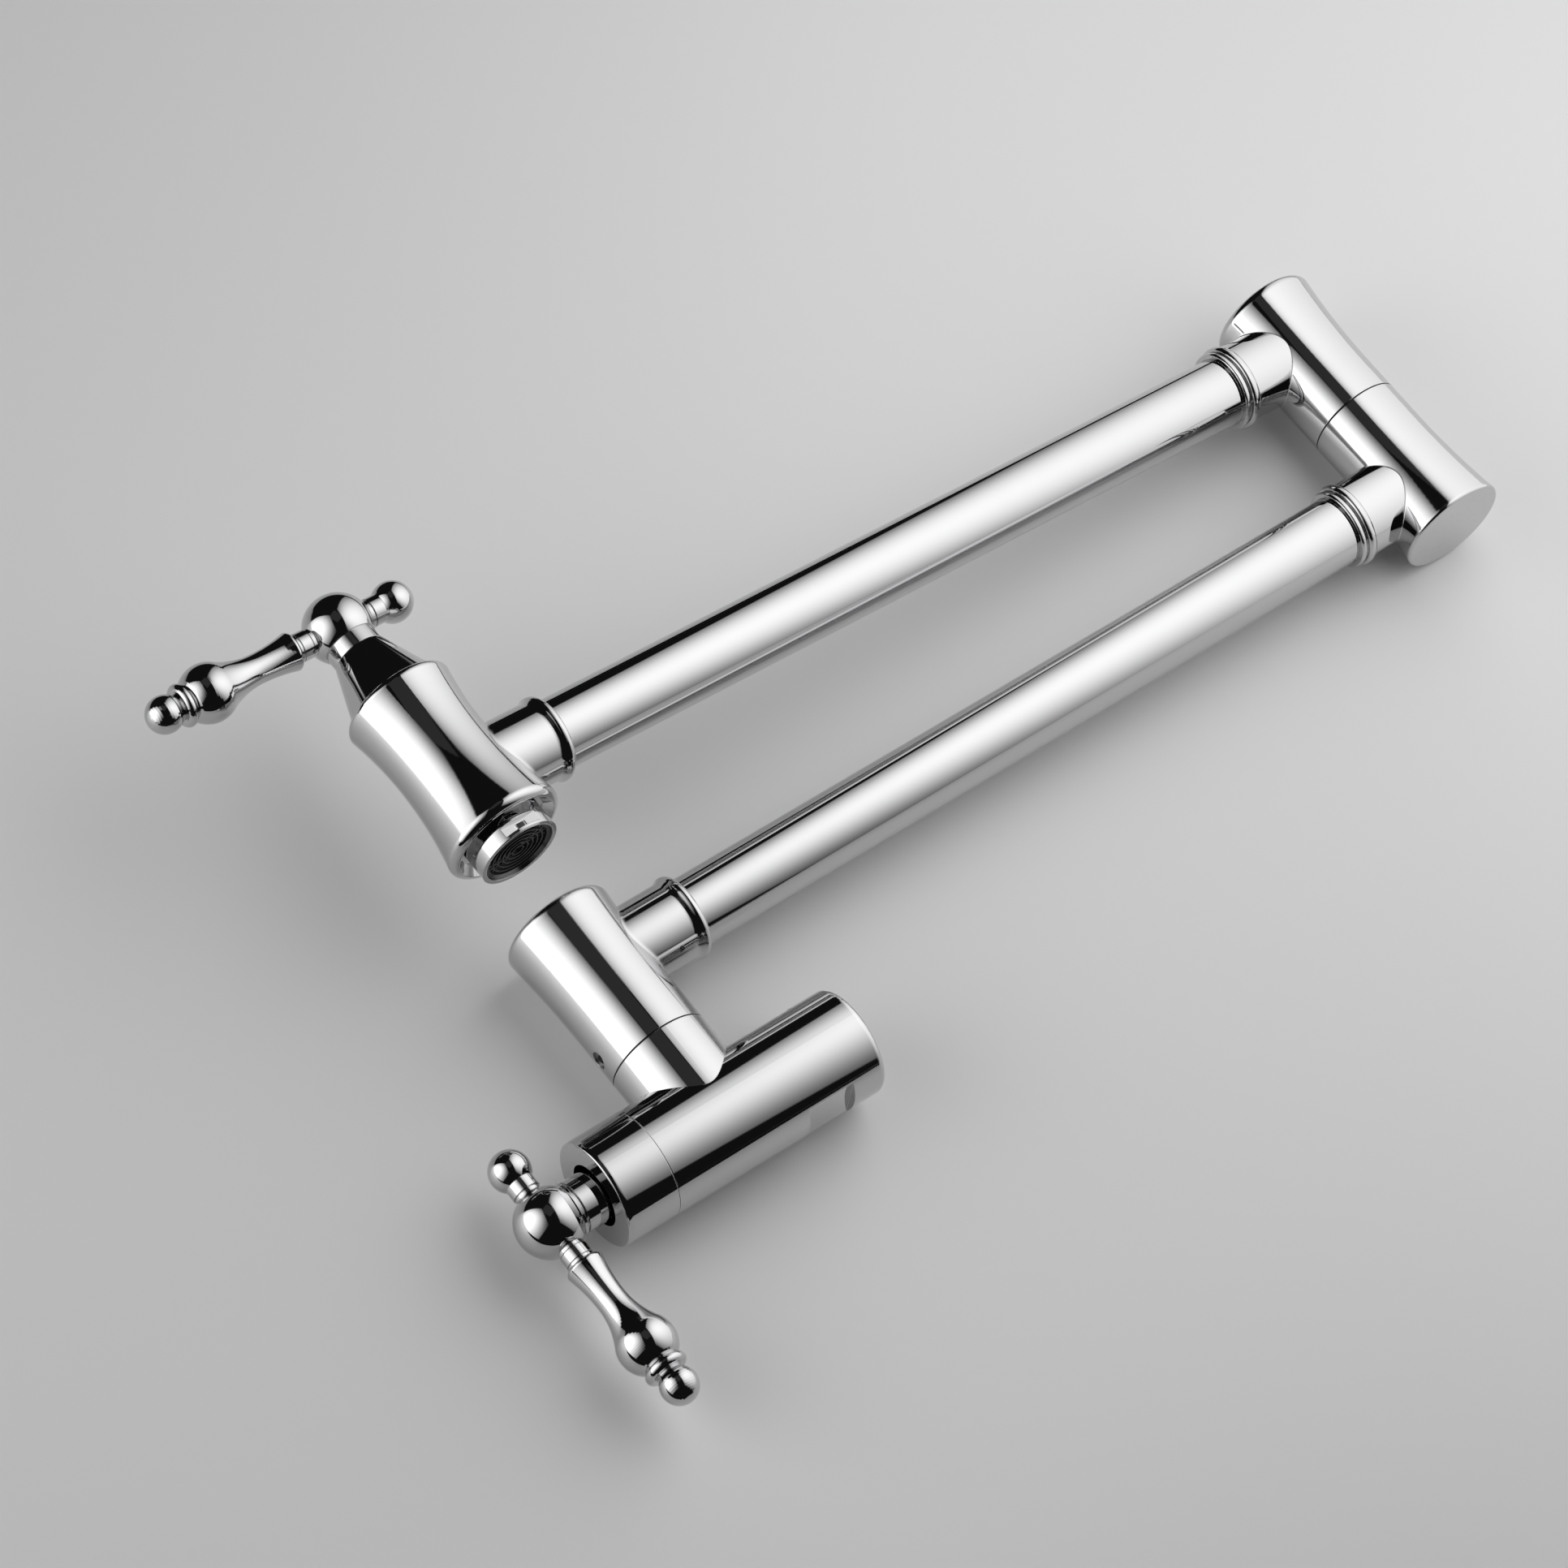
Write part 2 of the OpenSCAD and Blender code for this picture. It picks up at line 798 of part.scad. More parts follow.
module inlet_body() {
    color("gainsboro")
        difference() {
            union() {
                rotate([90, 0, 0])
                    rotate_extrude()
                        polygon(concat(
                            [[0, 0]],
                            arc_points([valve_r - wall_round, wall_round], wall_round, -90, 0, 10),
                            [[valve_r, -cover_seam_y], [0, -cover_seam_y]]
                        ));
                rotate([90, 0, 0])
                    rod(cover_screw_r, -cover_seam_y - cut, body_top_z - inlet_hub_y);
                translate([0, -stub_y, 0])
                    cylinder(d = stub_d, h = stub_face_z);
            }
            // Wall thread, strainer seat and the way to the cartridge seat
            rotate([90, 0, 0]) {
                rod(inlet_thread_d / 2, -cut, inlet_thread_depth);
                rod(strainer_r, inlet_thread_depth - mm_eps, inlet_thread_depth + strainer_h);
                rod(way_r, inlet_thread_depth, seat_z - inlet_hub_y + mm_eps);
            }
            at_inlet_hub()
                valve_pocket();
            // Way up through the stub
            translate([0, -stub_y, 0]) {
                rod(way_r, 0, stub_top_z);
                rod(spigot_screw_r + fixed_gap, stub_top_z - spigot_below, stub_top_z + cut);
                rod(spigot_flange_r + fixed_gap, stub_face_z - flange_sink, stub_top_z + cut);
            }
            // Spanner flats above and below
            for (side = [0, 180])
                rotate([0, side, 0])
                    translate([-valve_r, -flat_start - flat_length, flat_across / 2])
                        cube([valve_d, flat_length, valve_d]);
        }
}

// Room for a cartridge in a valve body
module valve_pocket() {
    seal_low = body_top_z - top_seal_section - seal_room;
    rod(chamber_r, seat_z, screw_z + mm_eps);
    rod(cartridge_screw_r + fixed_gap, screw_z, body_top_z + cut);
    rod(cartridge_screw_r + top_seal_proud + fixed_gap, seal_low, body_top_z + cut);
}

module inlet_strainer() {
    low = inlet_thread_depth + strainer_slack;
    high = inlet_thread_depth + strainer_h - strainer_slack;
    color("darkgray")
        rotate([90, 0, 0])
            difference() {
                rod(strainer_r - strainer_slack, low, high);
                rod(way_r, low - cut, high - strainer_floor_h);
                for (k = [0:strainer_hole_rings])
                    for (i = [0:max(6 * k, 1) - 1])
                        rotate([0, 0, 360 * i / max(6 * k, 1)])
                            translate([strainer_hole_pitch * k, 0, low])
                                cylinder(r = strainer_hole_r, h = strainer_h + cut, $fn = 16);
            }
}

// Cover whose outside draws in slightly towards its rounded front edge
module inlet_cover() {
    round_way = (cover_crown_r - cover_round) * [cos(cover_crown_angle), sin(cover_crown_angle)];
    crown_c = [valve_r - cover_crown_r, valve_length - cover_round - round_way[1]];
    low = -cover_seam_y + cover_seam_gap;
    color("gainsboro")
        rotate([90, 0, 0])
            difference() {
                rotate_extrude()
                    polygon(concat(
                        [[0, low], [valve_r, low]],
                        arc_points(crown_c, cover_crown_r, 0, cover_crown_angle, 8),
                        arc_points(crown_c + round_way, cover_round, cover_crown_angle, 90, 8),
                        [[0, valve_length]]
                    ));
                rod(cover_screw_r + fixed_gap, -cover_seam_y - cut, valve_length - cover_front);
                rod(cover_mouth_r, -cover_seam_y - cut, valve_length + cut);
            }
}

module inlet_cartridge_body() {
    color("goldenrod")
        at_inlet_hub()
            cartridge_body();
}

module inlet_cartridge_ring() {
    color("black")
        at_inlet_hub()
            cartridge_ring();
}

module inlet_seat_seal() {
    color("black")
        at_inlet_hub()
            seat_seal();
}

module inlet_fixed_disc() {
    color("white")
        at_inlet_hub()
            fixed_disc();
}

module inlet_stem() {
    color("goldenrod")
        at_inlet_hub()
            stem();
}

module inlet_turning_disc() {
    color("white")
        at_inlet_hub()
            turning_disc();
}

module inlet_stem_seal() {
    color("black")
        at_inlet_hub()
            stem_seal();
}

module inlet_thrust_ring() {
    color("white")
        at_inlet_hub()
            thrust_ring();
}

module inlet_stem_clip() {
    color("silver")
        at_inlet_hub()
            stem_clip();
}

// The inlet ball has a short skirt and a groove above its neck
module inlet_handle_hub() {
    skirt_end = hub_skirt_z - hub_skirt_h;
    color("gainsboro")
        at_inlet_hub()
            handle_hub(inlet_screw_z) {
                rod(hub_skirt_r, skirt_end, hub_skirt_z + mm_eps);
                rod(hub_neck_r, hub_neck_end, skirt_end - hub_groove_h);
            }
}

module inlet_handle_lever() {
    color("gainsboro")
        at_inlet_hub()
            handle_lever();
}

module inlet_handle_knob() {
    color("gainsboro")
        at_inlet_hub()
            handle_knob();
}

module inlet_handle_screw() {
    color("dimgray")
        at_inlet_hub()
            handle_screw(inlet_screw_z);
}

// First swivel

// Puts a seam's frame under the first knuckle
module at_stub_seam() {
    translate([0, -stub_y, stub_face_z + seam_washer_h])
        rotate([0, 0, 90])
            children();
}

module stub_spigot() {
    color("goldenrod")
        at_stub_seam()
            swivel_spigot();
}

module stub_spigot_seals() {
    color("black")
        at_stub_seam()
            swivel_seals();
}

module stub_washer() {
    color("dimgray")
        at_stub_seam()
            swivel_washer(stub_d / 2);
}

module lower_knuckle() {
    color("gainsboro")
        at_stub_seam()
            turning_knuckle(
                knuckle_seam_d / 2,
                knuckle_end_d / 2,
                lower_tube_z - stub_top_z - seam_washer_h / 2,
                knuckle_socket_length,
                knuckle_round,
                true
            );
}

module lower_knuckle_screw() {
    color("dimgray")
        at_stub_seam()
            knuckle_grub(knuckle_seam_d / 2);
}

// Lower arm

module lower_tube() {
    color("gainsboro")
        at_lower_arm()
            translate([0, 0, lower_tube_z])
                arm_tube(lower_arm_length);
}

// Puts a jam ring or its seal on an elbow's socket mouth, +Z along the tube
module at_lower_mouth() {
    at_lower_arm()
        translate([lower_arm_length - elbow_socket_length, 0, lower_tube_z])
            rotate([0, -90, 0])
                children();
}

module lower_jam_ring() {
    color("gainsboro")
        at_lower_mouth()
            jam_ring();
}

module tube_seal() {
    o_ring(tube_seal_r, tube_seal_section, tube_seal_room / 2);
}

module lower_tube_seal() {
    color("black")
        at_lower_mouth()
            tube_seal();
}

// Elbow with its seam up and its tube along -X
module lower_elbow() {
    drop = arm_pitch_z / 2 - seam_washer_h / 2;
    color("gainsboro")
        at_lower_arm()
            translate([lower_arm_length, 0, seam_2_z - seam_washer_h / 2])
                rotate([0, 180, 0])
                    difference() {
                        union() {
                            knuckle_shell(
                                elbow_seam_d / 2,
                                elbow_end_d / 2,
                                drop + closed_end,
                                lower_elbow_round
                            );
                            translate([0, 0, drop])
                                socket_shell(elbow_socket_length, false);
                        }
                        knuckle_bores(
                            drop,
                            elbow_socket_length,
                            spigot_screw_r + fixed_gap,
                            spigot_below
                        );
                        rod(spigot_flange_r + fixed_gap, -cut, flange_sink);
                    }
}

// Puts a seam's frame under the upper elbow
module at_elbow_seam() {
    at_upper_arm()
        translate([0, 0, seam_2_z + seam_washer_h / 2])
            children();
}

module elbow_spigot() {
    color("goldenrod")
        at_elbow_seam()
            swivel_spigot();
}

module elbow_spigot_seals() {
    color("black")
        at_elbow_seam()
            swivel_seals();
}

module elbow_washer() {
    color("dimgray")
        at_elbow_seam()
            swivel_washer(elbow_seam_d / 2);
}

// Upper arm

module upper_elbow() {
    color("gainsboro")
        at_elbow_seam()
            turning_knuckle(
                elbow_seam_d / 2,
                elbow_end_d / 2,
                arm_pitch_z / 2 - seam_washer_h / 2,
                elbow_socket_length,
                upper_elbow_round,
                false
            );
}

module upper_elbow_screw() {
    color("dimgray")
        at_elbow_seam()
            knuckle_grub(elbow_seam_d / 2);
}

module upper_tube() {
    color("gainsboro")
        at_upper_arm()
            translate([0, 0, upper_tube_z])
                arm_tube(upper_arm_length);
}

module at_upper_mouth() {
    at_upper_arm()
        translate([elbow_socket_length, 0, upper_tube_z])
            along_x()
                children();
}

module upper_jam_ring() {
    color("gainsboro")
        at_upper_mouth()
            jam_ring();
}

module upper_tube_seal() {
    color("black")
        at_upper_mouth()
            tube_seal();
}

// Outlet valve

// Half outline of the outlet body: up from the waist to the shoulder, then down to the rim
function outlet_outline() =
    let (
        waist = [waist_d / 2, waist_z],
        upper = flare_points(waist, [shoulder_d / 2, body_top_z], shoulder_round, 12),
        lower = flare_points(waist, [rim_d / 2, rim_bottom], rim_round, 16)
    )
    concat(
        [[0, body_top_z]],
        [for (i = [len(upper) - 1:-1:1]) upper[i]],
        lower,
        [[0, rim_bottom]]
    );

module outlet_body() {
    groove_z = body_top_z - bonnet_spigot_h - bonnet_spigot_room;
    color("gainsboro")
        at_outlet_hub()
            difference() {
                union() {
                    rotate_extrude()
                        polygon(outlet_outline());
                    translate([0, 0, -outlet_hub_height])
                        rotate([0, 0, 180])
                            socket_shell(outlet_socket_length, true);
                }
                valve_pocket();
                // Groove that holds the bonnet
                ring(
                    bonnet_spigot_r + fixed_gap,
                    bonnet_boss_r,
                    groove_z,
                    body_top_z + cut
                );
                // Way down to the aerator, its thread and the flared mouth round it
                rod(way_r, aerator_screw_z - cut, seat_z + mm_eps);
                rod(aerator_screw_r + fixed_gap, rim_bottom - cut, aerator_screw_z);
                translate([0, 0, rim_bottom - mm_eps])
                    cylinder(
                        r1 = rim_d / 2 - rim_round - recess_edge,
                        r2 = recess_top_r,
                        h = recess_depth
                    );
                // Way from the tube
                translate([0, 0, -outlet_hub_height])
                    rotate([0, 0, 180])
                        along_x() {
                            rod(outlet_way_r, 0, tube_stop);
                            rod(tube_r + fixed_gap, tube_stop - mm_eps, outlet_socket_length + cut);
                        }
            }
}

module outlet_bonnet() {
    inner_r = bonnet_boss_r + fixed_gap;
    color("gainsboro")
        at_outlet_hub()
            difference() {
                union() {
                    translate([0, 0, body_top_z])
                        cylinder(r1 = bonnet_base_r, r2 = bonnet_top_r, h = bonnet_top - body_top_z);
                    rod(bonnet_spigot_r, body_top_z - bonnet_spigot_h, body_top_z + mm_eps);
                }
                rod(inner_r, body_top_z - bonnet_spigot_h - cut, body_top_z + mm_eps);
                translate([0, 0, body_top_z])
                    cylinder(
                        r1 = inner_r,
                        r2 = hub_core_r + free_gap,
                        h = bonnet_top - body_top_z
                    );
                rod(hub_core_r + free_gap, bonnet_top - cut, bonnet_top + cut);
            }
}

module outlet_cartridge_body() {
    color("goldenrod")
        at_outlet_hub()
            cartridge_body();
}

module outlet_cartridge_ring() {
    color("black")
        at_outlet_hub()
            cartridge_ring();
}

module outlet_seat_seal() {
    color("black")
        at_outlet_hub()
            seat_seal();
}

module outlet_fixed_disc() {
    color("white")
        at_outlet_hub()
            fixed_disc();
}

module outlet_stem() {
    color("goldenrod")
        at_outlet_hub()
            stem();
}

module outlet_turning_disc() {
    color("white")
        at_outlet_hub()
            turning_disc();
}

module outlet_stem_seal() {
    color("black")
        at_outlet_hub()
            stem_seal();
}

module outlet_thrust_ring() {
    color("white")
        at_outlet_hub()
            thrust_ring();
}

module outlet_stem_clip() {
    color("silver")
        at_outlet_hub()
            stem_clip();
}

// The outlet ball runs straight into its neck, which ends above the bonnet
module outlet_handle_hub() {
    color("gainsboro")
        at_outlet_hub()
            handle_hub(outlet_screw_z)
                rod(hub_neck_r, outlet_neck_end, hub_skirt_z + mm_eps);
}

module outlet_handle_lever() {
    color("gainsboro")
        at_outlet_hub()
            handle_lever();
}

module outlet_handle_knob() {
    color("gainsboro")
        at_outlet_hub()
            handle_knob();
}

module outlet_handle_screw() {
    color("dimgray")
        at_outlet_hub()
            handle_screw(outlet_screw_z);
}

// Aerator

module aerator_housing() {
    r = aerator_d / 2;
    flat_cut = r - aerator_flat_across / 2 + cut;
    shank_top = aerator_screw_z - aerator_washer_h;
    color("gainsboro")
        at_outlet_hub()
            difference() {
                union() {
                    rod(aerator_screw_r, aerator_collar_top - mm_eps, shank_top);
                    rod(r, aerator_bottom, aerator_collar_top);
                }
                rod(aerator_screw_r - aerator_wall, aerator_bottom - cut, aerator_screw_z);
                rod(r - aerator_lip_w, aerator_bottom - cut, aerator_step_z);
                for (side = [0, 180])
                    rotate([0, 0, side + aerator_flat_angle])
                        translate([aerator_flat_across / 2, -r, aerator_flat_low])
                            cube([flat_cut, aerator_d, aerator_flat_h]);
            }
}

module aerator_washer() {
    color("black")
        at_outlet_hub()
            ring(
                aerator_screw_r - aerator_washer_gap,
                aerator_washer_bore_r,
                aerator_screw_z - aerator_washer_h + seal_ease,
                aerator_screw_z - seal_ease
            );
}

// Black plastic insert with raised rings and small holes on its outlet face
module aerator_insert() {
    face_r = aerator_d / 2 - aerator_lip_w - fixed_gap;
    body_r = aerator_screw_r - aerator_wall - fixed_gap;
    low = aerator_bottom + insert_sink;
    groove_w = insert_ridge_pitch - insert_ridge_w;
    plenum_r = body_r - insert_plenum_wall;
    top = aerator_screw_z - aerator_washer_h - aerator_washer_gap;
    holes_h = insert_plenum_z - low + cut;
    color("black")
        at_outlet_hub()
            difference() {
                union() {
                    rod(face_r, low, aerator_step_z - fixed_gap);
                    rod(body_r, low, top);
                }
                rod(insert_ridge_pitch, low - cut, low + insert_ridge_depth);
                for (k = [1:insert_rings])
                    ring(
                        insert_ridge_pitch * k + insert_ridge_w + groove_w,
                        insert_ridge_pitch * k + insert_ridge_w,
                        low - cut,
                        low + insert_ridge_depth
                    );
                rod(insert_hole_r, low, low + holes_h);
                for (k = [1:insert_rings])
                    for (i = [0:6 * k - 1])
                        rotate([0, 0, 60 * i / k])
                            translate([insert_ridge_pitch * k + insert_ridge_w + groove_w / 2, 0, low])
                                cylinder(r = insert_hole_r, h = holes_h, $fn = 16);
                rod(plenum_r, insert_plenum_z, top + cut);
            }
}

inlet_body();
inlet_strainer();
inlet_cover();
inlet_cartridge_body();
inlet_cartridge_ring();
inlet_seat_seal();
inlet_fixed_disc();
inlet_stem();
inlet_turning_disc();
inlet_stem_seal();
inlet_thrust_ring();
inlet_stem_clip();
inlet_handle_hub();
inlet_handle_lever();
inlet_handle_knob();
inlet_handle_screw();
stub_spigot();
stub_spigot_seals();
stub_washer();
lower_knuckle();
lower_knuckle_screw();
lower_tube();
lower_jam_ring();
lower_tube_seal();
lower_elbow();
elbow_spigot();
elbow_spigot_seals();
elbow_washer();
upper_elbow();
upper_elbow_screw();
upper_tube();
upper_jam_ring();
upper_tube_seal();
outlet_body();
outlet_bonnet();
outlet_cartridge_body();
outlet_cartridge_ring();
outlet_seat_seal();
outlet_fixed_disc();
outlet_stem();
outlet_turning_disc();
outlet_stem_seal();
outlet_thrust_ring();
outlet_stem_clip();
outlet_handle_hub();
outlet_handle_lever();
outlet_handle_knob();
outlet_handle_screw();
aerator_housing();
aerator_washer();
aerator_insert();
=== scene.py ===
"""Finishes, studio and camera for a folding wall-mounted pot filler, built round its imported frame.

The faucet lies on its side on a pale sheet, as photographed, so the studio's up is the frame's +X.
"""

import json
import math

import bpy
from bpy.props import FloatProperty, FloatVectorProperty, PointerProperty
from mathutils import Matrix, Vector


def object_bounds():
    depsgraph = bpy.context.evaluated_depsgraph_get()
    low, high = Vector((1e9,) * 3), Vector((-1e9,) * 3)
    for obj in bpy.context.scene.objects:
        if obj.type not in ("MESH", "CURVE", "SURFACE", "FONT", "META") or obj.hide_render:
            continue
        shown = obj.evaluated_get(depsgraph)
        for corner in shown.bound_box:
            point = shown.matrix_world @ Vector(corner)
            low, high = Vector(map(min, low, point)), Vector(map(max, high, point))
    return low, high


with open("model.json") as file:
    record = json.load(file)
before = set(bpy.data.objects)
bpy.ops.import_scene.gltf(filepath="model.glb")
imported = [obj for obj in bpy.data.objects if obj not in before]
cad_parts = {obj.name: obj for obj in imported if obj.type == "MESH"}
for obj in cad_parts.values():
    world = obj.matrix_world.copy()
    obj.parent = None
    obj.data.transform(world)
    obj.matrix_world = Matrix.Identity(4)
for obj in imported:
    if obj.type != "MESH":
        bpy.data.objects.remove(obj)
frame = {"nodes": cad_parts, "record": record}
cad_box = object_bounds()
SENSOR_WIDTH = 36  # millimetres
CLIP_RANGE = (0.05, 50)  # metres
EDGE_SAMPLES = 4
FILLET_SAMPLES = 10
WEAR_ROUGHNESS = 0.12

bl_info = {
    "name": "Pot filler finishes",
    "version": (1, 0, 0),
    "blender": (4, 5, 0),
    "location": "3D View > Sidebar > Pot Filler",
    "description": "Plates, fits out and photographs a folding wall-mounted pot filler",
    "category": "Object",
}


class PotFillerFinish(bpy.types.PropertyGroup):
    """Colours and polish of the faucet's finishes."""

    chrome_color: FloatVectorProperty(
        name="Chrome colour", description="What the plated surface reflects straight on",
        default=(0.56, 0.56, 0.565), subtype="COLOR", size=3, min=0, max=1,
    )
    chrome_roughness: FloatProperty(
        name="Chrome roughness", description="Roughness of the polished plate where it is clean",
        default=0.035, min=0, max=1, subtype="FACTOR",
    )
    ripple_height: FloatProperty(
        name="Casting ripple", description="How deep the buffed castings wave under the plate",
        default=4e-6, min=0, max=1e-4, unit="LENGTH",
    )
    edge_radius: FloatProperty(
        name="Edge radius", description="How far the buffing wheel has rounded each edge",
        default=0.00025, min=0, max=0.001, unit="LENGTH",
    )
    cast_fillet: FloatProperty(
        name="Cast fillet", description="Fillet where a tube socket leaves the knuckle or the outlet body",
        default=0.0016, min=0, max=0.004, unit="LENGTH",
    )
    elbow_fillet: FloatProperty(
        name="Elbow fillet", description="Fillet where a tube socket grows out of an elbow",
        default=0.0006, min=0, max=0.004, unit="LENGTH",
    )
    brass_color: FloatVectorProperty(
        name="Brass colour", description="Dulled machined brass of the cartridges and spigots",
        default=(0.24, 0.205, 0.15), subtype="COLOR", size=3, min=0, max=1,
    )
    steel_color: FloatVectorProperty(
        name="Steel colour", description="Stainless steel of the screws, clips and strainer",
        default=(0.5, 0.5, 0.49), subtype="COLOR", size=3, min=0, max=1,
    )
    rubber_color: FloatVectorProperty(
        name="Rubber colour", description="Moulded rubber of the seals",
        default=(0.022, 0.022, 0.023), subtype="COLOR", size=3, min=0, max=1,
    )
    ceramic_color: FloatVectorProperty(
        name="Ceramic colour", description="Lapped ceramic of the valve discs",
        default=(0.84, 0.83, 0.79), subtype="COLOR", size=3, min=0, max=1,
    )
    washer_color: FloatVectorProperty(
        name="Washer colour", description="Slip washers and thrust rings",
        default=(0.015, 0.015, 0.016), subtype="COLOR", size=3, min=0, max=1,
    )
    insert_color: FloatVectorProperty(
        name="Aerator colour", description="Moulded insert in the aerator",
        default=(0.016, 0.016, 0.017), subtype="COLOR", size=3, min=0, max=1,
    )


def softbox_settings(title, bearing, rise, roll, distance, half_size, hot_spot, falloff, feather, strength):
    """The settings of one softbox, by where it hangs seen from the middle of the faucet, angles in degrees."""
    settings = {
        "bearing": FloatProperty(
            name="Bearing", description="From straight above the sheet towards the elbows",
            default=math.radians(bearing), min=-math.pi, max=math.pi, subtype="ANGLE",
        ),
        "rise": FloatProperty(
            name="Rise", description="Out of that plane, towards the far side of the sheet",
            default=math.radians(rise), min=-1.5, max=1.5, subtype="ANGLE",
        ),
        "roll": FloatProperty(
            name="Roll", description="The softbox turned about its own middle",
            default=math.radians(roll), min=-math.pi, max=math.pi, subtype="ANGLE",
        ),
        "distance": FloatProperty(
            name="Distance", description="From the middle of the faucet",
            default=distance, min=0.2, max=6, unit="LENGTH",
        ),
        "half_size": FloatVectorProperty(
            name="Half size", description="Half its width and half its height",
            default=half_size, size=2, min=0.1, max=4, unit="LENGTH",
        ),
        "hot_spot": FloatVectorProperty(
            name="Hot spot", description="Where its face is brightest, from its middle",
            default=hot_spot, size=2, min=-2, max=2, unit="LENGTH",
        ),
        "falloff": FloatVectorProperty(
            name="Falloff", description="How far from the hot spot its face has dimmed to about a third",
            default=falloff, size=2, min=0.1, max=10, unit="LENGTH",
        ),
        "feather": FloatProperty(
            name="Feather", description="How wide its fading edge is",
            default=feather, min=0.001, max=1, unit="LENGTH",
        ),
        "strength": FloatProperty(
            name="Strength", description="Brightness at the hot spot",
            default=strength, min=0, max=20,
        ),
    }
    return type(title, (bpy.types.PropertyGroup,), {"__annotations__": settings})


# The softboxes as fitted to the reflections in the photograph
SOFTBOXES = {
    "elbow_softbox": softbox_settings(
        "PotFillerElbowSoftbox", bearing=72.6, rise=-7.1, roll=-1.6, distance=0.333,
        half_size=(0.93, 0.73), hot_spot=(0.28, 0.06), falloff=(0.755, 0.515), feather=0.044, strength=1.73,
    ),
    "handle_softbox": softbox_settings(
        "PotFillerHandleSoftbox", bearing=-75.4, rise=12.1, roll=-82.1, distance=1.058,
        half_size=(0.83, 1.21), hot_spot=(-0.2, 0.1), falloff=(0.65, 0.85), feather=0.076, strength=2.42,
    ),
    "ceiling_board": softbox_settings(
        "PotFillerCeilingBoard", bearing=-6, rise=13, roll=-20, distance=3.0,
        half_size=(0.8, 0.9), hot_spot=(0, 0), falloff=(6, 6), feather=0.1, strength=0.04,
    ),
}


class PotFillerStudio(bpy.types.PropertyGroup):
    """The sheet it lies on, the softboxes and the dark room round them."""

    sheet_color: FloatVectorProperty(
        name="Sheet colour", description="The pale sheet under the faucet",
        default=(0.85, 0.85, 0.85), subtype="COLOR", size=3, min=0, max=1,
    )
    sheet_size: FloatProperty(
        name="Sheet size", description="Side of the square sheet",
        default=6.0, min=1, max=20, unit="LENGTH",
    )
    # Painted shading: the three values below darken the sheet's colour towards one side, in place of light
    # falling off across it
    painted_shade_way: FloatVectorProperty(
        name="Shade way", description="The direction on the sheet in which it grows darker",
        default=(0.794, -0.598, 0), subtype="DIRECTION", size=3,
    )
    painted_shade_span: FloatVectorProperty(
        name="Shade span", description="Where it starts and stops growing darker, from the sheet's middle",
        default=(-0.054, 0.156), size=2, min=-3, max=3, unit="LENGTH",
    )
    shade: FloatProperty(
        name="Shade", description="How much of the sheet's colour is left on the darker side",
        default=0.9, min=0, max=1, subtype="FACTOR",
    )
    sheet_gap: FloatProperty(
        name="Sheet gap", description="Space between the faucet's lowest point and the sheet",
        default=0.0002, min=0, max=0.01, unit="LENGTH",
    )
    softbox_room: FloatProperty(
        name="Softbox room", description="How close a turned arm may come to a softbox before it moves back",
        default=0.08, min=0, max=1, unit="LENGTH",
    )
    room_color: FloatVectorProperty(
        name="Room colour", description="The dark room that the chrome mirrors between the lamps",
        default=(0.008, 0.008, 0.008), subtype="COLOR", size=3, min=0, max=1,
    )
    room_radius: FloatProperty(
        name="Room radius", description="How far off the dark room's wall is",
        default=7.0, min=3, max=30, unit="LENGTH",
    )
    card_margin: FloatProperty(
        name="Card margin", description="How far outside the photograph's frame the dark cards start",
        default=1.03, min=1, max=3,
    )
    card_spread: FloatProperty(
        name="Card spread", description="How far out the dark cards reach, in frame sizes",
        default=9.0, min=2, max=30,
    )
    elbow_softbox: PointerProperty(type=SOFTBOXES["elbow_softbox"])
    handle_softbox: PointerProperty(type=SOFTBOXES["handle_softbox"])
    ceiling_board: PointerProperty(type=SOFTBOXES["ceiling_board"])
    background_color: FloatVectorProperty(
        name="Background colour", description="What lies beyond the sheet",
        default=(0.62, 0.62, 0.62), subtype="COLOR", size=3, min=0, max=1,
    )


class PotFillerCamera(bpy.types.PropertyGroup):
    """The photograph's camera, fitted to the faucet's own edges."""

    place: FloatVectorProperty(
        name="Place", description="Where the lens is",
        default=(1.55562, -0.69585, -0.58727), subtype="TRANSLATION", size=3,
    )
    aim: FloatVectorProperty(
        name="Aim", description="A point on the line of sight through the frame's middle",
        default=(0.03332, 0.01200, 0.06203), subtype="TRANSLATION", size=3,
    )
    upright: FloatVectorProperty(
        name="Upright", description="The direction that points up in the picture",
        default=(0.52128, 0.46420, 0.71609), subtype="DIRECTION", size=3,
    )
    focal_length: FloatProperty(
        name="Focal length", description="In millimetres, on a sensor 36 mm wide",
        default=156.9, min=20, max=600,
    )
    frame_reach: FloatVectorProperty(
        name="Frame reach", description="Half the photograph's width and height, over its distance",
        default=(0.1721, 0.1148), size=2, min=0.01, max=1,
    )
    shift: FloatProperty(
        name="Shift", description="How far the frame slides to the right, in frame widths",
        default=0.0145, min=-0.2, max=0.2,
    )


def add_node(tree, kind, inputs=None, **settings):
    """A node of that kind, with its settings, and its inputs set to a value or joined to a socket."""
    made = tree.nodes.new(kind)
    for name, value in settings.items():
        setattr(made, name, value)
    for name, value in (inputs or {}).items():
        if isinstance(value, bpy.types.NodeSocket):
            tree.links.new(value, made.inputs[name])
        else:
            made.inputs[name].default_value = value
    return made


def arithmetic(tree, operation, *values, clamp=False):
    """The output of a math node on these values or sockets."""
    inputs = dict(enumerate(values))
    return add_node(tree, "ShaderNodeMath", inputs, operation=operation, use_clamp=clamp).outputs[0]


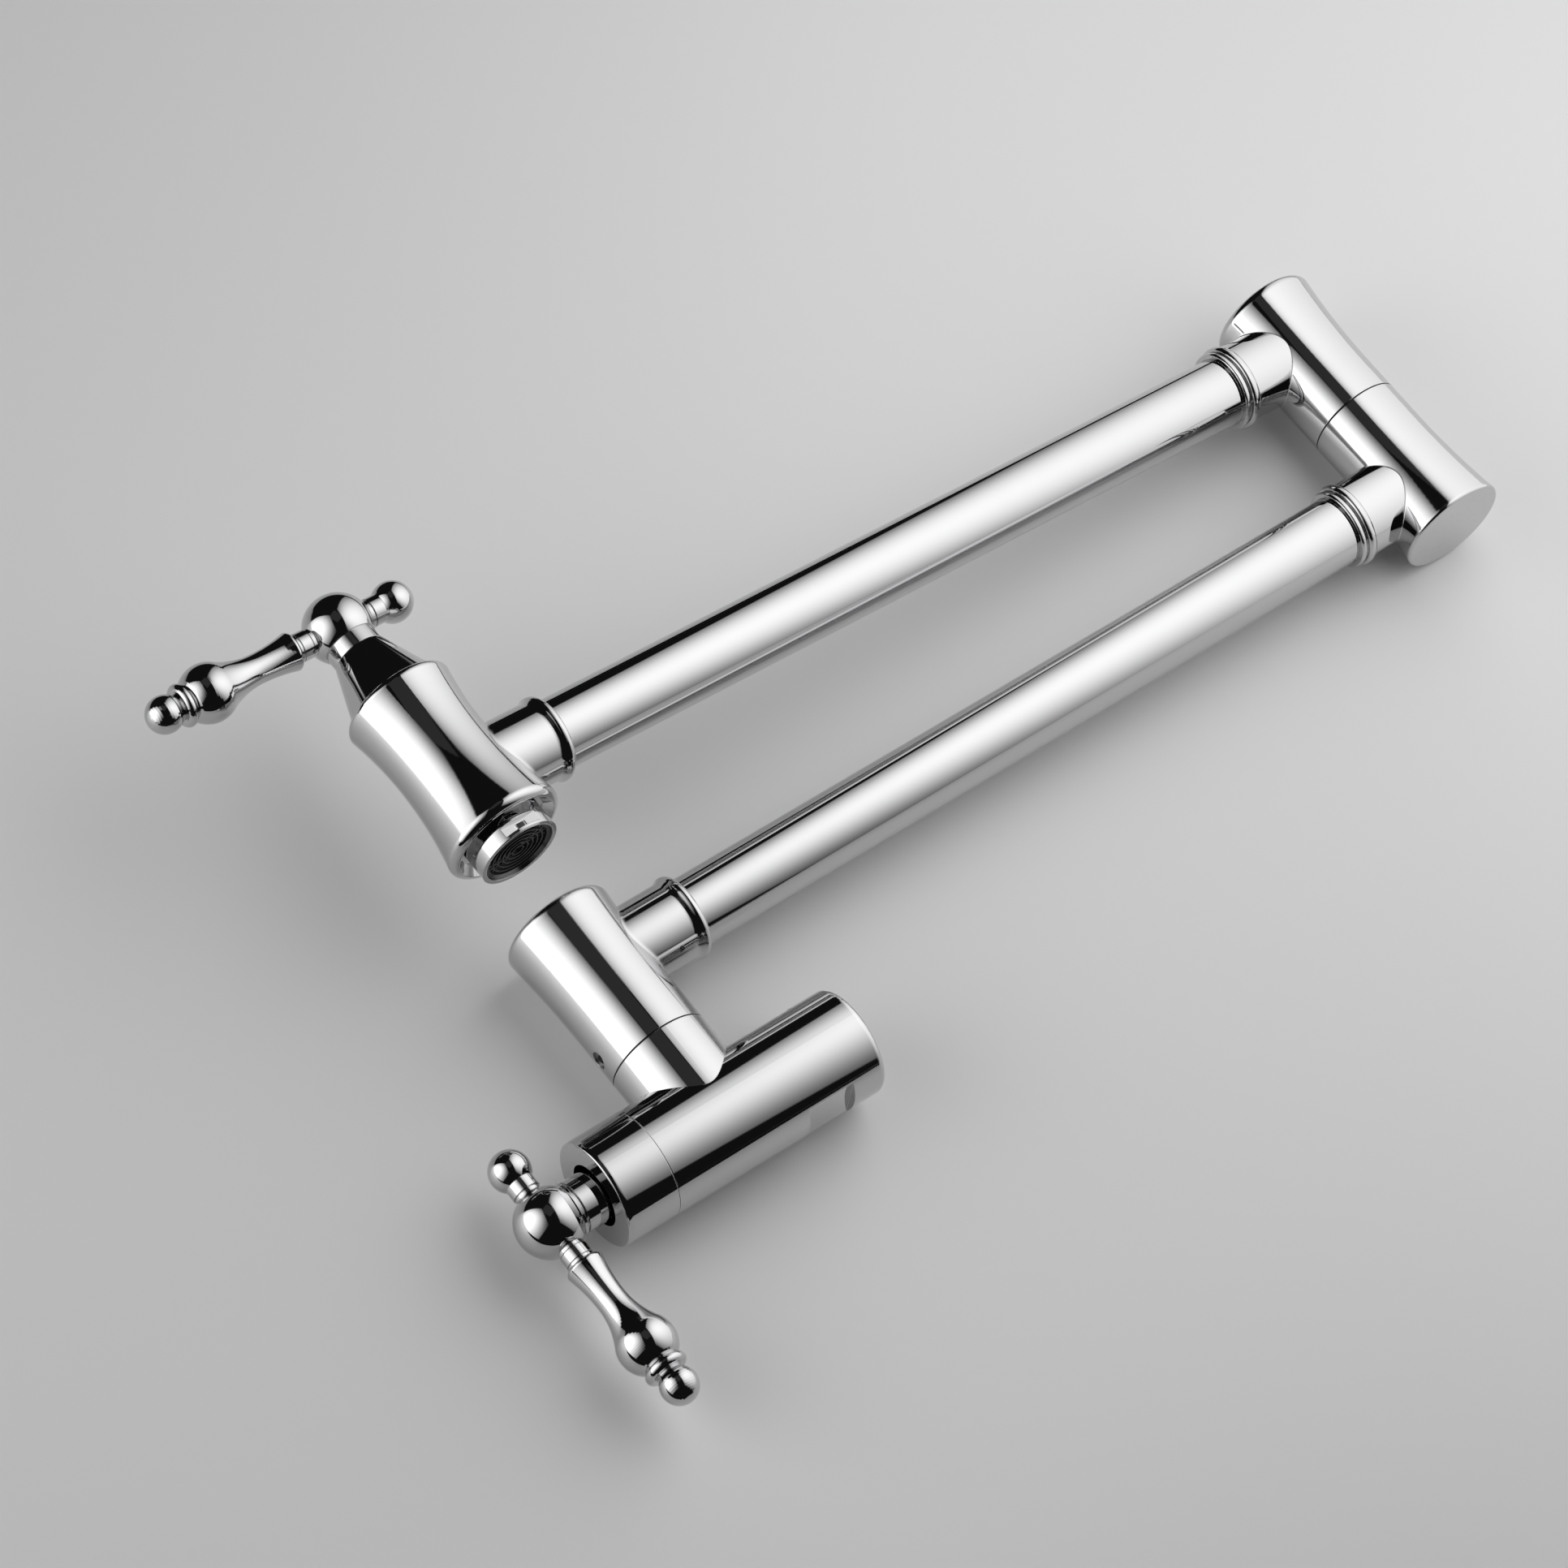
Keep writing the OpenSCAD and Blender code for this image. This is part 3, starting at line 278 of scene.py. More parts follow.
def vector_node(tree, operation, *values):
    """A vector math node on these values or sockets."""
    return add_node(tree, "ShaderNodeVectorMath", dict(enumerate(values)), operation=operation)


def scaled_color(tree, color, level):
    """A colour made lighter or darker by a factor."""
    made = add_node(tree, "ShaderNodeVectorMath", {0: color, "Scale": level}, operation="SCALE")
    return made.outputs[0]


def remap(tree, value, low, high, to_low, to_high, smooth=True):
    """Value from low to high, spread to to_low and to_high."""
    inputs = {"Value": value, "From Min": low, "From Max": high, "To Min": to_low, "To Max": to_high}
    kind = "SMOOTHSTEP" if smooth else "LINEAR"
    return add_node(tree, "ShaderNodeMapRange", inputs, interpolation_type=kind).outputs["Result"]


def noise(tree, vector, scale, detail=2.0, roughness=0.5):
    """The grey of a noise texture, which stays between 0 and 1."""
    inputs = {"Vector": vector, "Scale": scale, "Detail": detail, "Roughness": roughness}
    return add_node(tree, "ShaderNodeTexNoise", inputs).outputs["Fac"]


def new_group(name, inputs, outputs):
    """An empty shader node group with these float or vector inputs and outputs, and its two ends."""
    tree = bpy.data.node_groups.new(name, "ShaderNodeTree")
    for label, kind, default in inputs:
        socket = tree.interface.new_socket(label, in_out="INPUT", socket_type=kind)
        if default is not None:
            socket.default_value = default
    for label, kind in outputs:
        tree.interface.new_socket(label, in_out="OUTPUT", socket_type=kind)
    return tree, tree.nodes.new("NodeGroupInput"), tree.nodes.new("NodeGroupOutput")


def polish_group():
    """Buffed metal under plate: a slow ripple, faint buffing lines along one axis, and hazy patches."""
    if "Polish" in bpy.data.node_groups:
        return bpy.data.node_groups["Polish"]
    floats = [
        ("Ripple Scale", 70.0), ("Line Scale", 900.0), ("Line Share", 0.02),
        ("Roughness", 0.035), ("Haze", 0.03),
    ]
    inputs = [("Vector", "NodeSocketVector", None), ("Grain", "NodeSocketVector", (1, 1, 1))]
    inputs += [(label, "NodeSocketFloat", value) for label, value in floats]
    outputs = [("Height", "NodeSocketFloat"), ("Roughness", "NodeSocketFloat")]
    tree, start, end = new_group("Polish", inputs, outputs)
    given = start.outputs
    ripple = noise(tree, given["Vector"], given["Ripple Scale"], detail=1.0)
    combed = vector_node(tree, "MULTIPLY", given["Vector"], given["Grain"])
    lines = noise(tree, combed.outputs[0], given["Line Scale"], detail=3.0, roughness=0.6)
    fine = arithmetic(tree, "MULTIPLY", lines, given["Line Share"])
    height = arithmetic(tree, "ADD", ripple, fine)
    cloud = noise(tree, given["Vector"], scale=38.0, detail=4.0, roughness=0.6)
    patches = remap(tree, cloud, 0.45, 0.75, 0, 1)
    streaks = remap(tree, lines, 0.5, 0.8, 0, 0.5)
    haze = arithmetic(tree, "MULTIPLY", arithmetic(tree, "ADD", patches, streaks), given["Haze"])
    roughness = arithmetic(tree, "ADD", given["Roughness"], haze)
    tree.links.new(height, end.inputs["Height"])
    tree.links.new(roughness, end.inputs["Roughness"])
    return tree


def mottle_group():
    """A colour that drifts a little from place to place, as every real surface does."""
    if "Mottle" in bpy.data.node_groups:
        return bpy.data.node_groups["Mottle"]
    inputs = [
        ("Vector", "NodeSocketVector", None), ("Color", "NodeSocketColor", (0.5, 0.5, 0.5, 1)),
        ("Scale", "NodeSocketFloat", 60.0), ("Amount", "NodeSocketFloat", 0.1),
    ]
    tree, start, end = new_group("Mottle", inputs, [("Color", "NodeSocketColor")])
    given = start.outputs
    drift = noise(tree, given["Vector"], given["Scale"], detail=4.0, roughness=0.6)
    share = arithmetic(tree, "MULTIPLY", arithmetic(tree, "SUBTRACT", drift, 0.5), given["Amount"])
    level = arithmetic(tree, "ADD", share, 1.0)
    scaled = scaled_color(tree, given["Color"], level)
    tree.links.new(scaled, end.inputs["Color"])
    return tree


def junction_group():
    """How close a point is to where a socket meets a body: 1 at the joint, 0 away from it."""
    if "Junction" in bpy.data.node_groups:
        return bpy.data.node_groups["Junction"]
    inputs = [
        ("Vector", "NodeSocketVector", None), ("Centre", "NodeSocketVector", None),
        ("Reach", "NodeSocketFloat", 0.0185), ("Half Height", "NodeSocketFloat", 0.0155),
        ("Blend", "NodeSocketFloat", 0.002),
    ]
    tree, start, end = new_group("Junction", inputs, [("Mask", "NodeSocketFloat")])
    given = start.outputs
    offset = vector_node(tree, "SUBTRACT", given["Vector"], given["Centre"])
    flat = vector_node(tree, "MULTIPLY", offset.outputs[0], (1, 1, 0))
    away = vector_node(tree, "LENGTH", flat.outputs[0]).outputs["Value"]
    height = add_node(tree, "ShaderNodeSeparateXYZ", {0: offset.outputs[0]}).outputs["Z"]
    beyond = arithmetic(tree, "SUBTRACT", away, given["Reach"])
    above = arithmetic(tree, "SUBTRACT", arithmetic(tree, "ABSOLUTE", height), given["Half Height"])
    inside = remap(tree, beyond, 0, given["Blend"], 1, 0)
    between = remap(tree, above, 0, given["Blend"], 1, 0)
    tree.links.new(arithmetic(tree, "MULTIPLY", inside, between), end.inputs["Mask"])
    return tree


def empty_material(name):
    """A material with no nodes yet, and its tree."""
    made = bpy.data.materials.new(name)
    made.use_nodes = True
    made.node_tree.nodes.clear()
    return made, made.node_tree


def new_material(name):
    """A material with its Principled shader, its tree and its object coordinates."""
    made, tree = empty_material(name)
    shader = tree.nodes.new("ShaderNodeBsdfPrincipled")
    add_node(tree, "ShaderNodeOutputMaterial", {"Surface": shader.outputs[0]})
    place = tree.nodes.new("ShaderNodeTexCoord").outputs["Object"]
    return made, tree, shader, place


def place_group(tree, group, inputs):
    """A node group placed in a tree, with its inputs set or joined."""
    return add_node(tree, "ShaderNodeGroup", inputs, node_tree=group)


def finish_surface(tree, shader, place, color, roughness, mottle, mottle_scale):
    """Joins a drifting colour and a roughness to the shader."""
    tint = place_group(tree, mottle_group(), {
        "Vector": place, "Color": (*color, 1), "Amount": mottle, "Scale": mottle_scale,
    })
    tree.links.new(tint.outputs["Color"], shader.inputs["Base Color"])
    tree.links.new(roughness, shader.inputs["Roughness"])


def emboss(tree, shader, height, depth, **under):
    """Joins a bump of that height to the shader, on top of another Normal when one is given."""
    bump = add_node(tree, "ShaderNodeBump", {"Height": height, "Distance": depth, **under})
    tree.links.new(bump.outputs[0], shader.inputs["Normal"])


# Each way of polishing: its grain is high across the buffing lines and low along them
DRAWN = {"Grain": (1, 0.04, 1), "Ripple Scale": 45.0, "Line Share": 0.01, "Haze": 0.03}
BUFFED = {"Grain": (1, 1, 0.05), "Ripple Scale": 70.0, "Line Share": 0.02, "Haze": 0.03}
TURNED = {"Grain": (1, 1, 1), "Ripple Scale": 160.0, "Line Share": 0.03, "Haze": 0.03}
LATHED = {"Grain": (1, 1, 0.1), "Ripple Scale": 220.0, "Line Share": 0.6, "Haze": 0.12}
ROLLED = {"Grain": (1, 0.1, 1), "Ripple Scale": 220.0, "Line Share": 0.6, "Haze": 0.12}


def chrome_material(name, finish, polish, ripple_share, junction=None, fillet=0.0):
    """Mirror chrome plate over polished brass, with a fillet shaded round the junction when one is given."""
    made, tree, shader, place = new_material(name)
    polished = place_group(tree, polish_group(), {
        "Vector": place, "Roughness": finish.chrome_roughness, **polish,
    })
    roughness = polished.outputs["Roughness"]
    finish_surface(tree, shader, place, finish.chrome_color, roughness, mottle=0.03, mottle_scale=90.0)
    shader.inputs["Metallic"].default_value = 1.0
    rounded = add_node(tree, "ShaderNodeBevel", {"Radius": finish.edge_radius}, samples=EDGE_SAMPLES)
    if junction:
        near = place_group(tree, junction_group(), {"Vector": place, "Centre": junction})
        radius = remap(tree, near.outputs["Mask"], 0, 1, finish.edge_radius, fillet)
        tree.links.new(radius, rounded.inputs["Radius"])
        rounded.samples = FILLET_SAMPLES
    depth = finish.ripple_height * ripple_share
    emboss(tree, shader, polished.outputs["Height"], depth, Normal=rounded.outputs[0])
    return made


def metal_material(name, color, roughness, polish, depth):
    """Bare lathed or rolled metal."""
    made, tree, shader, place = new_material(name)
    polished = place_group(tree, polish_group(), {"Vector": place, "Roughness": roughness, **polish})
    finish_surface(tree, shader, place, color, polished.outputs["Roughness"], mottle=0.16, mottle_scale=140.0)
    shader.inputs["Metallic"].default_value = 1.0
    emboss(tree, shader, polished.outputs["Height"], depth)
    return made


def moulded_material(name, color, roughness, grain_scale, depth, mottle):
    """Moulded rubber, plastic or pressed ceramic with a fine skin, rougher where it is worn."""
    made, tree, shader, place = new_material(name)
    skin = noise(tree, place, grain_scale, detail=3.0, roughness=0.55)
    wear = noise(tree, place, scale=120.0, detail=4.0, roughness=0.6)
    worn = remap(tree, wear, 0.4, 0.75, roughness, roughness + WEAR_ROUGHNESS)
    finish_surface(tree, shader, place, color, worn, mottle, mottle_scale=160.0)
    emboss(tree, shader, skin, depth)
    return made


def dress(material, names):
    """Puts one material on every slot of these CAD nodes."""
    for name in names:
        for slot in frame["nodes"][name].material_slots:
            slot.material = material


def middle_of(name):
    """The middle of a CAD node's box."""
    node = frame["nodes"][name]
    corners = [node.matrix_world @ Vector(corner) for corner in node.bound_box]
    return sum(corners, Vector()) / len(corners)


def junction_of(turns_with, tube):
    """Where a tube's axis meets the upright axis of a round node."""
    upright = middle_of(turns_with)
    return (upright.x, upright.y, middle_of(tube).z)


def nodes_of(slot_name):
    """The CAD nodes that the record gives this finish."""
    return [row["node"] for row in frame["record"]["subparts"] if row["material_slot"] == slot_name]


def handle_nodes():
    """Hub, lever and knob of both handles."""
    return [f"{end}_handle_{piece}" for end in ("inlet", "outlet") for piece in ("hub", "lever", "knob")]


# Each body with a tube socket: a round node on the body's axis, the tube, and the fillet between them
SOCKETS = {
    "lower_knuckle": ("stub_washer", "lower_tube", "cast_fillet"),
    "lower_elbow": ("elbow_washer", "lower_tube", "elbow_fillet"),
    "upper_elbow": ("elbow_washer", "upper_tube", "elbow_fillet"),
    "outlet_body": ("outlet_bonnet", "upper_tube", "cast_fillet"),
}


class FAUCET_OT_tubes(bpy.types.Operator):
    """Plate the two drawn arm tubes"""

    bl_idname = "faucet.tubes"
    bl_label = "Arm tubes"

    def execute(self, context):
        finish = context.scene.pot_filler_finish
        chrome = chrome_material("chrome tube", finish, DRAWN, 0.5)
        dress(chrome, ["lower_tube", "upper_tube"])
        return {"FINISHED"}


class FAUCET_OT_castings(bpy.types.Operator):
    """Plate the valve bodies, the cover, the knuckle, the elbows, the bonnet and the jam rings"""

    bl_idname = "faucet.castings"
    bl_label = "Bodies and knuckles"

    def execute(self, context):
        finish = context.scene.pot_filler_finish
        chrome = chrome_material("chrome casting", finish, BUFFED, 1.0)
        others = ["lower_tube", "upper_tube"] + handle_nodes()
        dress(chrome, [name for name in nodes_of("chrome") if name not in others])
        for name, (turns_with, tube, fillet) in SOCKETS.items():
            junction = junction_of(turns_with, tube)
            radius = getattr(finish, fillet)
            dress(chrome_material(f"chrome {name}", finish, BUFFED, 1.0, junction, radius), [name])
        return {"FINISHED"}


class FAUCET_OT_handles(bpy.types.Operator):
    """Plate the turned handles: hub, lever and knob at both valves"""

    bl_idname = "faucet.handles"
    bl_label = "Handles"

    def execute(self, context):
        finish = context.scene.pot_filler_finish
        chrome = chrome_material("chrome handle", finish, TURNED, 0.7)
        dress(chrome, handle_nodes())
        return {"FINISHED"}


class FAUCET_OT_inner_metal(bpy.types.Operator):
    """Finish the brass cartridges, stems and spigots, and the steel screws, clips and strainer"""

    bl_idname = "faucet.inner_metal"
    bl_label = "Brass and steel"

    def execute(self, context):
        finish = context.scene.pot_filler_finish
        brass = metal_material("machined brass", finish.brass_color, roughness=0.22, polish=LATHED, depth=6e-6)
        steel = metal_material("bright steel", finish.steel_color, roughness=0.24, polish=ROLLED, depth=4e-6)
        dress(brass, nodes_of("brass"))
        dress(steel, nodes_of("steel"))
        return {"FINISHED"}


class FAUCET_OT_seals(bpy.types.Operator):
    """Finish the rubber seals, the slip washers and the ceramic discs"""

    bl_idname = "faucet.seals"
    bl_label = "Seals, washers and discs"

    def execute(self, context):
        finish = context.scene.pot_filler_finish
        rubber = moulded_material(
            "seal rubber", finish.rubber_color,
            roughness=0.5, grain_scale=2600.0, depth=1.2e-5, mottle=0.3,
        )
        ceramic = moulded_material(
            "lapped ceramic", finish.ceramic_color,
            roughness=0.16, grain_scale=3200.0, depth=8e-7, mottle=0.05,
        )
        washer = moulded_material(
            "slip plastic", finish.washer_color,
            roughness=0.38, grain_scale=1800.0, depth=4e-6, mottle=0.2,
        )
        dress(rubber, nodes_of("rubber"))
        dress(ceramic, nodes_of("ceramic"))
        dress(washer, nodes_of("slip_plastic"))
        return {"FINISHED"}


class FAUCET_OT_aerator_insert(bpy.types.Operator):
    """Finish the aerator's moulded insert"""

    bl_idname = "faucet.aerator_insert"
    bl_label = "Aerator insert"

    def execute(self, context):
        finish = context.scene.pot_filler_finish
        plastic = moulded_material(
            "aerator plastic", finish.insert_color,
            roughness=0.3, grain_scale=2200.0, depth=6e-6, mottle=0.2,
        )
        dress(plastic, ["aerator_insert"])
        return {"FINISHED"}


def facing(place, towards, upright):
    """A matrix at place whose +Z looks towards a point and whose +Y leans to upright."""
    ahead = (Vector(towards) - Vector(place)).normalized()
    side = Vector(upright).cross(ahead).normalized()
    over = ahead.cross(side)
    turned = Matrix((side, over, ahead)).transposed().to_4x4()
    return Matrix.Translation(place) @ turned


def put_in_scene(name, data):
    """An object of that name in the scene, in place of the one from an earlier run."""
    earlier = bpy.data.objects.get(name)
    if earlier:
        bpy.data.objects.remove(earlier)
    made = bpy.data.objects.new(name, data)
    bpy.context.scene.collection.objects.link(made)
    return made


def flat_panel(name, width, height):
    """A rectangle in its own XY plane that faces its +Z."""
    corners = [(-width / 2, -height / 2, 0), (width / 2, -height / 2, 0),
               (width / 2, height / 2, 0), (-width / 2, height / 2, 0)]
    mesh = bpy.data.meshes.new(name)
    mesh.from_pydata(corners, [], [(0, 1, 2, 3)])
    return put_in_scene(name, mesh)


def sheet_material(studio):
    """Pale sheet, seen only from the side that the faucet lies on, with a satin sheen in the chrome and painted
    shading that darkens its colour towards one side.
    """
    made, tree, shader, place = new_material("studio sheet")
    fibre = noise(tree, place, scale=900.0, detail=3.0, roughness=0.6)
    matt, satin = remap(tree, fibre, 0, 1, 0.5, 0.62), remap(tree, fibre, 0, 1, 0.24, 0.34)
    mirrored = add_node(tree, "ShaderNodeLightPath").outputs["Is Glossy Ray"]
    roughness = remap(tree, mirrored, 0, 1, matt, satin)
    finish_surface(tree, shader, place, studio.sheet_color, roughness, mottle=0.02, mottle_scale=1.4)
    tint = shader.inputs["Base Color"].links[0].from_socket
    # Painted shading: the colour is scaled down along one direction on the sheet, in place of light falling off
    # across it
    along = vector_node(tree, "DOT_PRODUCT", place, studio.painted_shade_way)
    share = remap(tree, along.outputs["Value"], *studio.painted_shade_span, 1, studio.shade)
    tree.links.new(scaled_color(tree, tint, share), shader.inputs["Base Color"])
    behind = add_node(tree, "ShaderNodeNewGeometry").outputs["Backfacing"]
    clear = add_node(tree, "ShaderNodeBsdfTransparent").outputs[0]
    either = add_node(tree, "ShaderNodeMixShader", {0: behind, 1: shader.outputs[0], 2: clear})
    output = next(n for n in tree.nodes if n.bl_idname == "ShaderNodeOutputMaterial")
    tree.links.new(either.outputs[0], output.inputs["Surface"])
    return made


def sheet_place(studio):
    """Where the sheet's plane is, flat against the faucet's lowest side, with the studio's up as its +Z."""
    centre = (cad_box[0] + cad_box[1]) / 2
    below = Vector((cad_box[0].x - studio.sheet_gap, centre.y, centre.z))
    return facing(below, below + Vector((1, 0, 0)), (0, 0, 1))


def clear_of_the_faucet():
    """Geometry nodes that move a flat piece back along its own Z when a turned joint comes closer than Room."""
    if "Clear of the faucet" in bpy.data.node_groups:
        return bpy.data.node_groups["Clear of the faucet"]
    tree = bpy.data.node_groups.new("Clear of the faucet", "GeometryNodeTree")
    tree.interface.new_socket("Geometry", in_out="INPUT", socket_type="NodeSocketGeometry")
    tree.interface.new_socket("Room", in_out="INPUT", socket_type="NodeSocketFloat")
    tree.interface.new_socket("Geometry", in_out="OUTPUT", socket_type="NodeSocketGeometry")
    given = tree.nodes.new("NodeGroupInput").outputs
    faucet = tree.nodes.new("GeometryNodeJoinGeometry")
    for node in frame["nodes"].values():
        piece = add_node(tree, "GeometryNodeObjectInfo", {"Object": node}, transform_space="RELATIVE")
        tree.links.new(piece.outputs["Geometry"], faucet.inputs["Geometry"])
    extent = add_node(tree, "GeometryNodeBoundBox", {"Geometry": faucet.outputs["Geometry"]})
    closest = add_node(tree, "ShaderNodeSeparateXYZ", {0: extent.outputs["Min"]}).outputs["Z"]
    back = arithmetic(tree, "MINIMUM", arithmetic(tree, "SUBTRACT", closest, given["Room"]), 0.0)
    offset = add_node(tree, "ShaderNodeCombineXYZ", {"Z": back}).outputs["Vector"]
    moved = add_node(tree, "GeometryNodeSetPosition", {"Geometry": given["Geometry"], "Offset": offset})
    add_node(tree, "NodeGroupOutput", {"Geometry": moved.outputs["Geometry"]})
    return tree


def keep_clear(piece, room):
    """Keeps a flat piece of the studio this far behind every part of the faucet, however its joints stand."""
    clearing = piece.modifiers.new("Clear of the faucet", "NODES")
    clearing.node_group = clear_of_the_faucet()
    socket = clearing.node_group.interface.items_tree["Room"]
    clearing[socket.identifier] = room


def lay_sheet(studio):
    """The sheet that the faucet lies on."""
    sheet = flat_panel("studio_sheet", studio.sheet_size, studio.sheet_size)
    sheet.matrix_world = sheet_place(studio)
    sheet.data.materials.append(sheet_material(studio))
    keep_clear(sheet, studio.sheet_gap)


def seen_only_in_chrome(made):
    """Keeps an object out of the picture and out of the light, so that only the chrome mirrors it."""
    made.visible_camera = False
    made.visible_diffuse = False
    made.visible_shadow = False


def plain_glow(name, color):
    """A surface of one even brightness that lights nothing."""
    made, tree = empty_material(name)
    glow = add_node(tree, "ShaderNodeEmission", {"Color": (*color, 1)})
    add_node(tree, "ShaderNodeOutputMaterial", {"Surface": glow.outputs[0]})
    made.cycles.emission_sampling = "NONE"
    return made


def lay_cards(studio, wanted):
    """Dark cards on the sheet, below and above what the photograph shows of it."""
    place = Vector(wanted.place)
    ahead = (Vector(wanted.aim) - place).normalized()
    side = ahead.cross(Vector(wanted.upright)).normalized()
    over = side.cross(ahead)
    level = cad_box[0].x - studio.sheet_gap / 2
    inner = []
    for across, up in ((-1, -1), (1, -1), (1, 1), (-1, 1)):
        sight = ahead + side * across * wanted.frame_reach[0] * studio.card_margin
        sight += over * up * wanted.frame_reach[1] * studio.card_margin
        inner.append(place + sight * (level - place.x) / sight.x)
    centre = sum(inner, Vector()) / len(inner)
    outer = [centre + (corner - centre) * studio.card_spread for corner in inner]
    faces = [(i, (i + 1) % 4, (i + 1) % 4 + 4, i + 4) for i in (0, 2)]
    laid = sheet_place(studio)
    mesh = bpy.data.meshes.new("dark_cards")
    mesh.from_pydata([laid.inverted() @ corner for corner in inner + outer], [], faces)
    mesh.materials.append(plain_glow("dark card", studio.room_color))
    cards = put_in_scene("dark_cards", mesh)
    cards.matrix_world = laid
    keep_clear(cards, studio.sheet_gap)
    seen_only_in_chrome(cards)


def glow_material(name, lamp):
    """A softbox's face: brightest at its hot spot, falling off all round, with edges that fade out."""
    made, tree = empty_material(name)
    place = tree.nodes.new("ShaderNodeTexCoord").outputs["Object"]
    axes = add_node(tree, "ShaderNodeSeparateXYZ", {0: place}).outputs
    mask, distance = 1.0, 0.0
    for axis, half, hot, reach in zip("XY", lamp.half_size, lamp.hot_spot, lamp.falloff):
        inward = arithmetic(tree, "SUBTRACT", half, arithmetic(tree, "ABSOLUTE", axes[axis]))
        mask = arithmetic(tree, "MULTIPLY", remap(tree, inward, 0, lamp.feather, 0, 1), mask)
        off = arithmetic(tree, "DIVIDE", arithmetic(tree, "SUBTRACT", axes[axis], hot), reach)
        distance = arithmetic(tree, "MULTIPLY_ADD", off, off, distance)
    fading = arithmetic(tree, "EXPONENT", arithmetic(tree, "MULTIPLY", distance, -1.0))
    level = arithmetic(tree, "MULTIPLY", arithmetic(tree, "MULTIPLY", fading, mask), lamp.strength)
    glow = add_node(tree, "ShaderNodeEmission", {"Strength": level})
    add_node(tree, "ShaderNodeOutputMaterial", {"Surface": glow.outputs[0]})
    return made


def hang_softbox(name, lamp, centre, room):
    """A softbox that faces the faucet, which only lights it and shows in its reflections."""
    way = Vector((
        math.cos(lamp.bearing) * math.cos(lamp.rise),
        math.sin(lamp.bearing) * math.cos(lamp.rise),
        math.sin(lamp.rise),
    ))
    panel = flat_panel(name, 2 * lamp.half_size[0], 2 * lamp.half_size[1])
    facing_centre = facing(centre + way * lamp.distance, centre, (0, 0, 1))
    panel.matrix_world = facing_centre @ Matrix.Rotation(lamp.roll, 4, "Z")
    panel.data.materials.append(glow_material(name, lamp))
    panel.visible_camera = False
    keep_clear(panel, room)


def dark_room(studio, centre):
    """A dark shell round the studio, which only the chrome mirrors."""
    rings, steps = 24, 48
    points, faces = [], []
    for ring in range(rings + 1):
        fall = math.pi * ring / rings
        for step in range(steps):
            turn = 2 * math.pi * step / steps
            points.append((math.sin(fall) * math.cos(turn), math.sin(fall) * math.sin(turn), math.cos(fall)))
    for ring in range(rings):
        for step in range(steps):
            after = (step + 1) % steps
            row, below = ring * steps, (ring + 1) * steps
            faces.append((row + step, row + after, below + after, below + step))
    mesh = bpy.data.meshes.new("dark_room")
    mesh.from_pydata([Vector(p) * studio.room_radius for p in points], [], faces)
    room = put_in_scene("dark_room", mesh)
    room.location = centre
    mesh.materials.append(plain_glow("dark room", studio.room_color))
    room.visible_camera = False


def background(studio):
    """The plain pale colour beyond the sheet."""
    world = bpy.data.worlds.new("background")
    world.use_nodes = True
    world.node_tree.nodes["Background"].inputs["Color"].default_value = (*studio.background_color, 1)
    world.cycles.sampling_method = "NONE"
    bpy.context.scene.world = world


def set_camera(wanted):
    """The photograph's camera."""
    lens = bpy.data.cameras.new("camera")
    lens.sensor_width = SENSOR_WIDTH
    lens.lens = wanted.focal_length
    lens.shift_x = wanted.shift
    lens.clip_start, lens.clip_end = CLIP_RANGE
    camera = put_in_scene("camera", lens)
    away = 2 * Vector(wanted.place) - Vector(wanted.aim)
    camera.matrix_world = facing(wanted.place, away, wanted.upright)
    bpy.context.scene.camera = camera


